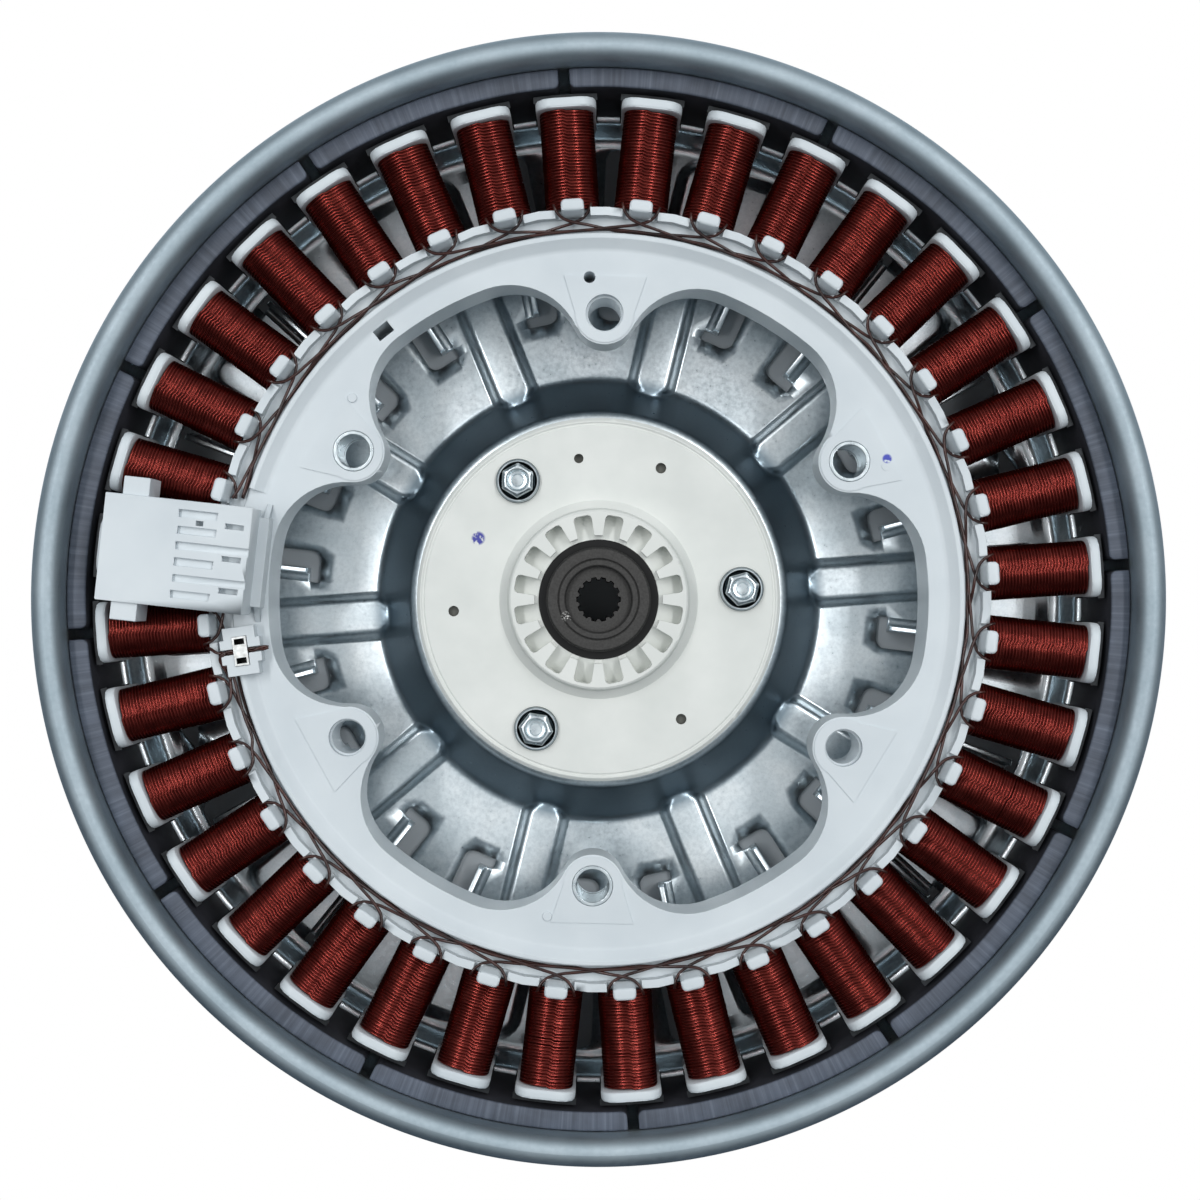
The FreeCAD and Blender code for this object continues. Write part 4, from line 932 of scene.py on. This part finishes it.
def end_walls():
    """The coils' end walls: upright plates with soft edges and round free corners, over and under the core."""
    outline = rounded_path([(0, 0, 0), (WALL_HALF, 0, 0), (WALL_HALF, WALL_REACH, WALL_CORNER),
                            (-WALL_HALF, WALL_REACH, WALL_CORNER), (-WALL_HALF, 0, 0)], 6)[1:]
    middle = np.array([0, WALL_REACH / 2])
    rings = []
    for t in (0, 25, 50, 70, 90, 90, 110, 130, 155, 180):
        into = WALL_ROUND * (1 - math.sin(math.radians(t)))
        place = WALL_START - WALL_GROW + WALL_ROUND * (1 - math.cos(math.radians(t)))
        if t > 90 or (t == 90 and len(rings) == 5):
            place += WALL_THICK + 2 * WALL_GROW - 2 * WALL_ROUND
        size = 1 + (WALL_GROW - into) / np.array([WALL_HALF, WALL_REACH / 2])
        flat = middle + (outline - middle) * size
        rings.append(np.stack([np.full(len(flat), place), flat[:, 0], flat[:, 1]], -1))
    rings = np.array(rings)
    upper = rings + np.array([0, 0, WALL_TOP - WALL_REACH])
    lower = rings[:, ::-1] * np.array([1, 1, -1]) + np.array([0, 0, WALL_BASE + WALL_REACH])
    parts = []
    for k in range(COIL_COUNT):
        for side in (upper, lower):
            parts.append(sweep(turned(side[:, ::-1], COIL_ANGLE + 360 / COIL_COUNT * k)))
    points, faces = merged(parts)
    return piece("end_walls", points, faces, "white_plastic", "stator")


def hub_bolts():
    """Flanged hexagon bolts with a dished head, each turned a little differently by the last tightening."""
    seat = HUB_TOP
    # radius or half the hexagon's width, height, and how far the ring is a hexagon
    rows = [(2.1, seat - 12.9, 0), (2.5, seat - 12.5, 0), (2.5, seat - 0.02, 0), (5.6, seat, 0),
            (5.9, seat + 0.25, 0), (5.9, seat + 0.95, 0), (5.75, seat + 1.25, 0), (5.4, seat + 1.5, 0),
            (5.15, seat + 1.5, 0), (4.5, seat + 0.6, 0.6), (4.0, seat + 0.5, 1), (4.0, seat + 4.0, 1),
            (3.9, seat + 4.2, 1), (3.45, seat + 4.6, 0.55), (3.3, seat + 4.66, 0), (3.05, seat + 4.66, 0),
            (2.9, seat + 4.55, 0), (2.65, seat + 3.9, 0), (2.35, seat + 3.62, 0), (1.75, seat + 3.5, 0),
            (1.6, seat + 3.36, 0), (1.45, seat + 3.5, 0), (0.7, seat + 3.47, 0), (0.1, seat + 3.45, 0)]
    # close together at each of the hexagon's six corners
    sixth = np.array([-3.5, -1.5, 0, 1.5, 3.5, 8, 14, 22, 30, 38, 46, 52])
    turn = np.radians(np.concatenate([60 * k + sixth for k in range(6)]))
    flat = np.abs((turn + math.pi / 6) % (math.pi / 3) - math.pi / 6)
    hexagon = np.minimum(1 / np.cos(math.pi / 6 - flat), 1 / math.cos(math.radians(30)) * 0.985)
    for index in range(3):
        rings = []
        for radius, height, share in rows:
            reach = radius * (1 + (hexagon - 1) * share)
            rings.append(np.stack([reach * np.cos(turn), reach * np.sin(turn), height + 0 * turn], -1))
        rings = turned(np.array(rings), BOLT_TURNS[index])
        rings = rings + np.array([BOLT_CIRCLE, 0, 0])
        points, faces = sweep(turned(rings, RIB_ANGLE + 120 * index))
        name = "hub_bolt_%d" % (index + 1)
        screw = piece("hub_screw_%d" % (index + 1), points, faces, "zinc_steel", "rotor", [name])
        screw.data.set_sharp_from_angle(angle=math.radians(28))


def roomy(edge, width):
    """Whether an edge can be rounded: at both ends it meets no edge that is too short or nearly doubles it."""
    for vertex in edge.verts:
        here = (edge.other_vert(vertex).co - vertex.co).normalized()
        for other in vertex.link_edges:
            if other == edge:
                continue
            there = other.other_vert(vertex).co - vertex.co
            along = here.dot(there.normalized())
            if along > 0.82 or (along > -0.87 and there.length < 2.3 * width):
                return False
    return True


def softened(node, name, finish, body, width, cut=False):
    """A copy of a node's mesh with its doubles merged, its flats joined and its sharp edges rounded."""
    source = frame["nodes"][node]
    mesh = source.data.copy()
    mesh.materials.clear()
    mesh.materials.append(FINISHES[finish])
    obj = bpy.data.objects.new(name, mesh)
    bpy.context.scene.collection.objects.link(obj)
    work = bmesh.new()
    work.from_mesh(mesh)
    bmesh.ops.remove_doubles(work, verts=work.verts, dist=1e-6)
    bmesh.ops.dissolve_limit(work, angle_limit=math.radians(0.4), verts=work.verts, edges=work.edges)
    # Large flat faces are cut into sectors, so that no face encloses another
    for turn in np.radians(np.arange(SECTOR_ANGLE / 3, 180, SECTOR_ANGLE)) if cut else ():
        bmesh.ops.bisect_plane(work, geom=work.verts[:] + work.edges[:] + work.faces[:], dist=1e-6,
                               plane_co=(0, 0, 0), plane_no=(-math.sin(turn), math.cos(turn), 0))
    weight = work.edges.layers.float.new("bevel_weight_edge")
    for edge in work.edges:
        turn = math.degrees(edge.calc_face_angle_signed(0))
        rounded = turn > SHARP_ANGLE and roomy(edge, width * MM)
        edge[weight] = 1.0 if rounded else 0.0
        edge.smooth = rounded or abs(turn) < SHARP_ANGLE
    work.to_mesh(mesh)
    work.free()
    mesh.polygons.foreach_set("use_smooth", np.ones(len(mesh.polygons), bool))
    bevel = obj.modifiers.new("edges", "BEVEL")
    bevel.width = width * MM
    bevel.segments = 2
    bevel.limit_method = "WEIGHT"
    bevel.use_clamp_overlap = False
    even = obj.modifiers.new("even", "WEIGHTED_NORMAL")
    even.weight = 80
    even.keep_sharp = True
    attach(obj, body)
    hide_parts(node)
    return obj


def finish_nodes():
    """Every node that keeps its own mesh gets the finish of its slot."""
    for name, obj in frame["nodes"].items():
        obj.data.materials.clear()
        obj.data.materials.append(FINISHES[frame_slots[name]])


def studio():
    """A white floor, a room that is bright overhead, two long lamps and a camera straight over the motor."""
    size = FLOOR_HALF
    mesh = bpy.data.meshes.new("floor")
    corners = [(-size, -size, 0), (size, -size, 0), (size, size, 0), (-size, size, 0)]
    mesh.from_pydata(corners, [], [(0, 1, 2, 3)])
    floor = bpy.data.objects.new("floor", mesh)
    mesh.materials.append(floor_finish())
    bpy.context.scene.collection.objects.link(floor)
    world = bpy.data.worlds.new("surround")
    bpy.context.scene.world = world
    world.use_nodes = True
    tree = world.node_tree
    background = tree.nodes["Background"]
    # The room is bright overhead and towards the lamps, and dark low down, as over a table
    direction = tree.nodes.new("ShaderNodeTexCoord").outputs["Generated"]
    dot = tree.nodes.new("ShaderNodeVectorMath")
    dot.operation = "DOT_PRODUCT"
    tree.links.new(direction, dot.inputs[0])
    dot.inputs[1].default_value = ROOM_LEAN
    height = tree.nodes.new("ShaderNodeMath")
    height.operation = "MULTIPLY_ADD"
    tree.links.new(dot.outputs["Value"], height.inputs[0])
    height.inputs[1].default_value = 0.5
    height.inputs[2].default_value = 0.5
    ramp = tree.nodes.new("ShaderNodeValToRGB")
    tree.links.new(height.outputs[0], ramp.inputs[0])
    elements = ramp.color_ramp.elements
    while len(elements) < len(ROOM_TONES):
        elements.new(0.5)
    for element, (place, colour) in zip(elements, ROOM_TONES):
        element.position = place
        element.color = linear(colour)
    tree.links.new(ramp.outputs[0], background.inputs[0])
    shade = tree.nodes.new("ShaderNodeVectorMath")
    shade.operation = "DOT_PRODUCT"
    tree.links.new(direction, shade.inputs[0])
    shade.inputs[1].default_value = SHADE_LEAN
    power = tree.nodes.new("ShaderNodeMapRange")
    power.interpolation_type = "SMOOTHSTEP"
    tree.links.new(shade.outputs["Value"], power.inputs[0])
    for socket, value in zip(power.inputs[1:5], SHADE_EDGES + (ROOM_POWER, ROOM_POWER * SHADE_LEFT)):
        socket.default_value = value
    tree.links.new(power.outputs[0], background.inputs[1])
    for name, place in LAMPS:
        light = bpy.data.lights.new(name, "AREA")
        light.shape = "RECTANGLE"
        light.size, light.size_y = LAMP_SIZE
        light.energy = LAMP_POWER
        obj = bpy.data.objects.new(name, light)
        obj.location = place
        bpy.context.scene.collection.objects.link(obj)
    camera = bpy.data.cameras.new("camera")
    camera.sensor_width = SENSOR
    camera.lens = LENS
    eye = bpy.data.objects.new("camera", camera)
    eye.location = EYE
    bpy.context.scene.collection.objects.link(eye)
    bpy.context.scene.camera = eye
    bpy.context.scene.view_settings.view_transform = "Standard"


studio()
finish_nodes()
rotor_cup()
vent_fins()
magnets()
windings()
crossovers()
star_leads()
peg_caps()
end_walls()
hub_bolts()
softened("insulator_upper", "stator_moulding", "white_plastic", "stator", 0.17, True)
softened("insulator_lower", "stator_moulding_back", "white_plastic", "stator", 0.18, True)
softened("rotor_hub", "hub_moulding", "hub_plastic", "rotor", 0.1)
softened("connector_housing", "plug_housing", "white_plastic", "stator", 0.28)
softened("spline_bush", "bush", "dark_steel", "rotor", 0.14)
for number in (1, 2, 3):
    softened("mounting_bush_%d" % number, "sleeve_%d" % number, "zinc_steel", "stator", 0.2)
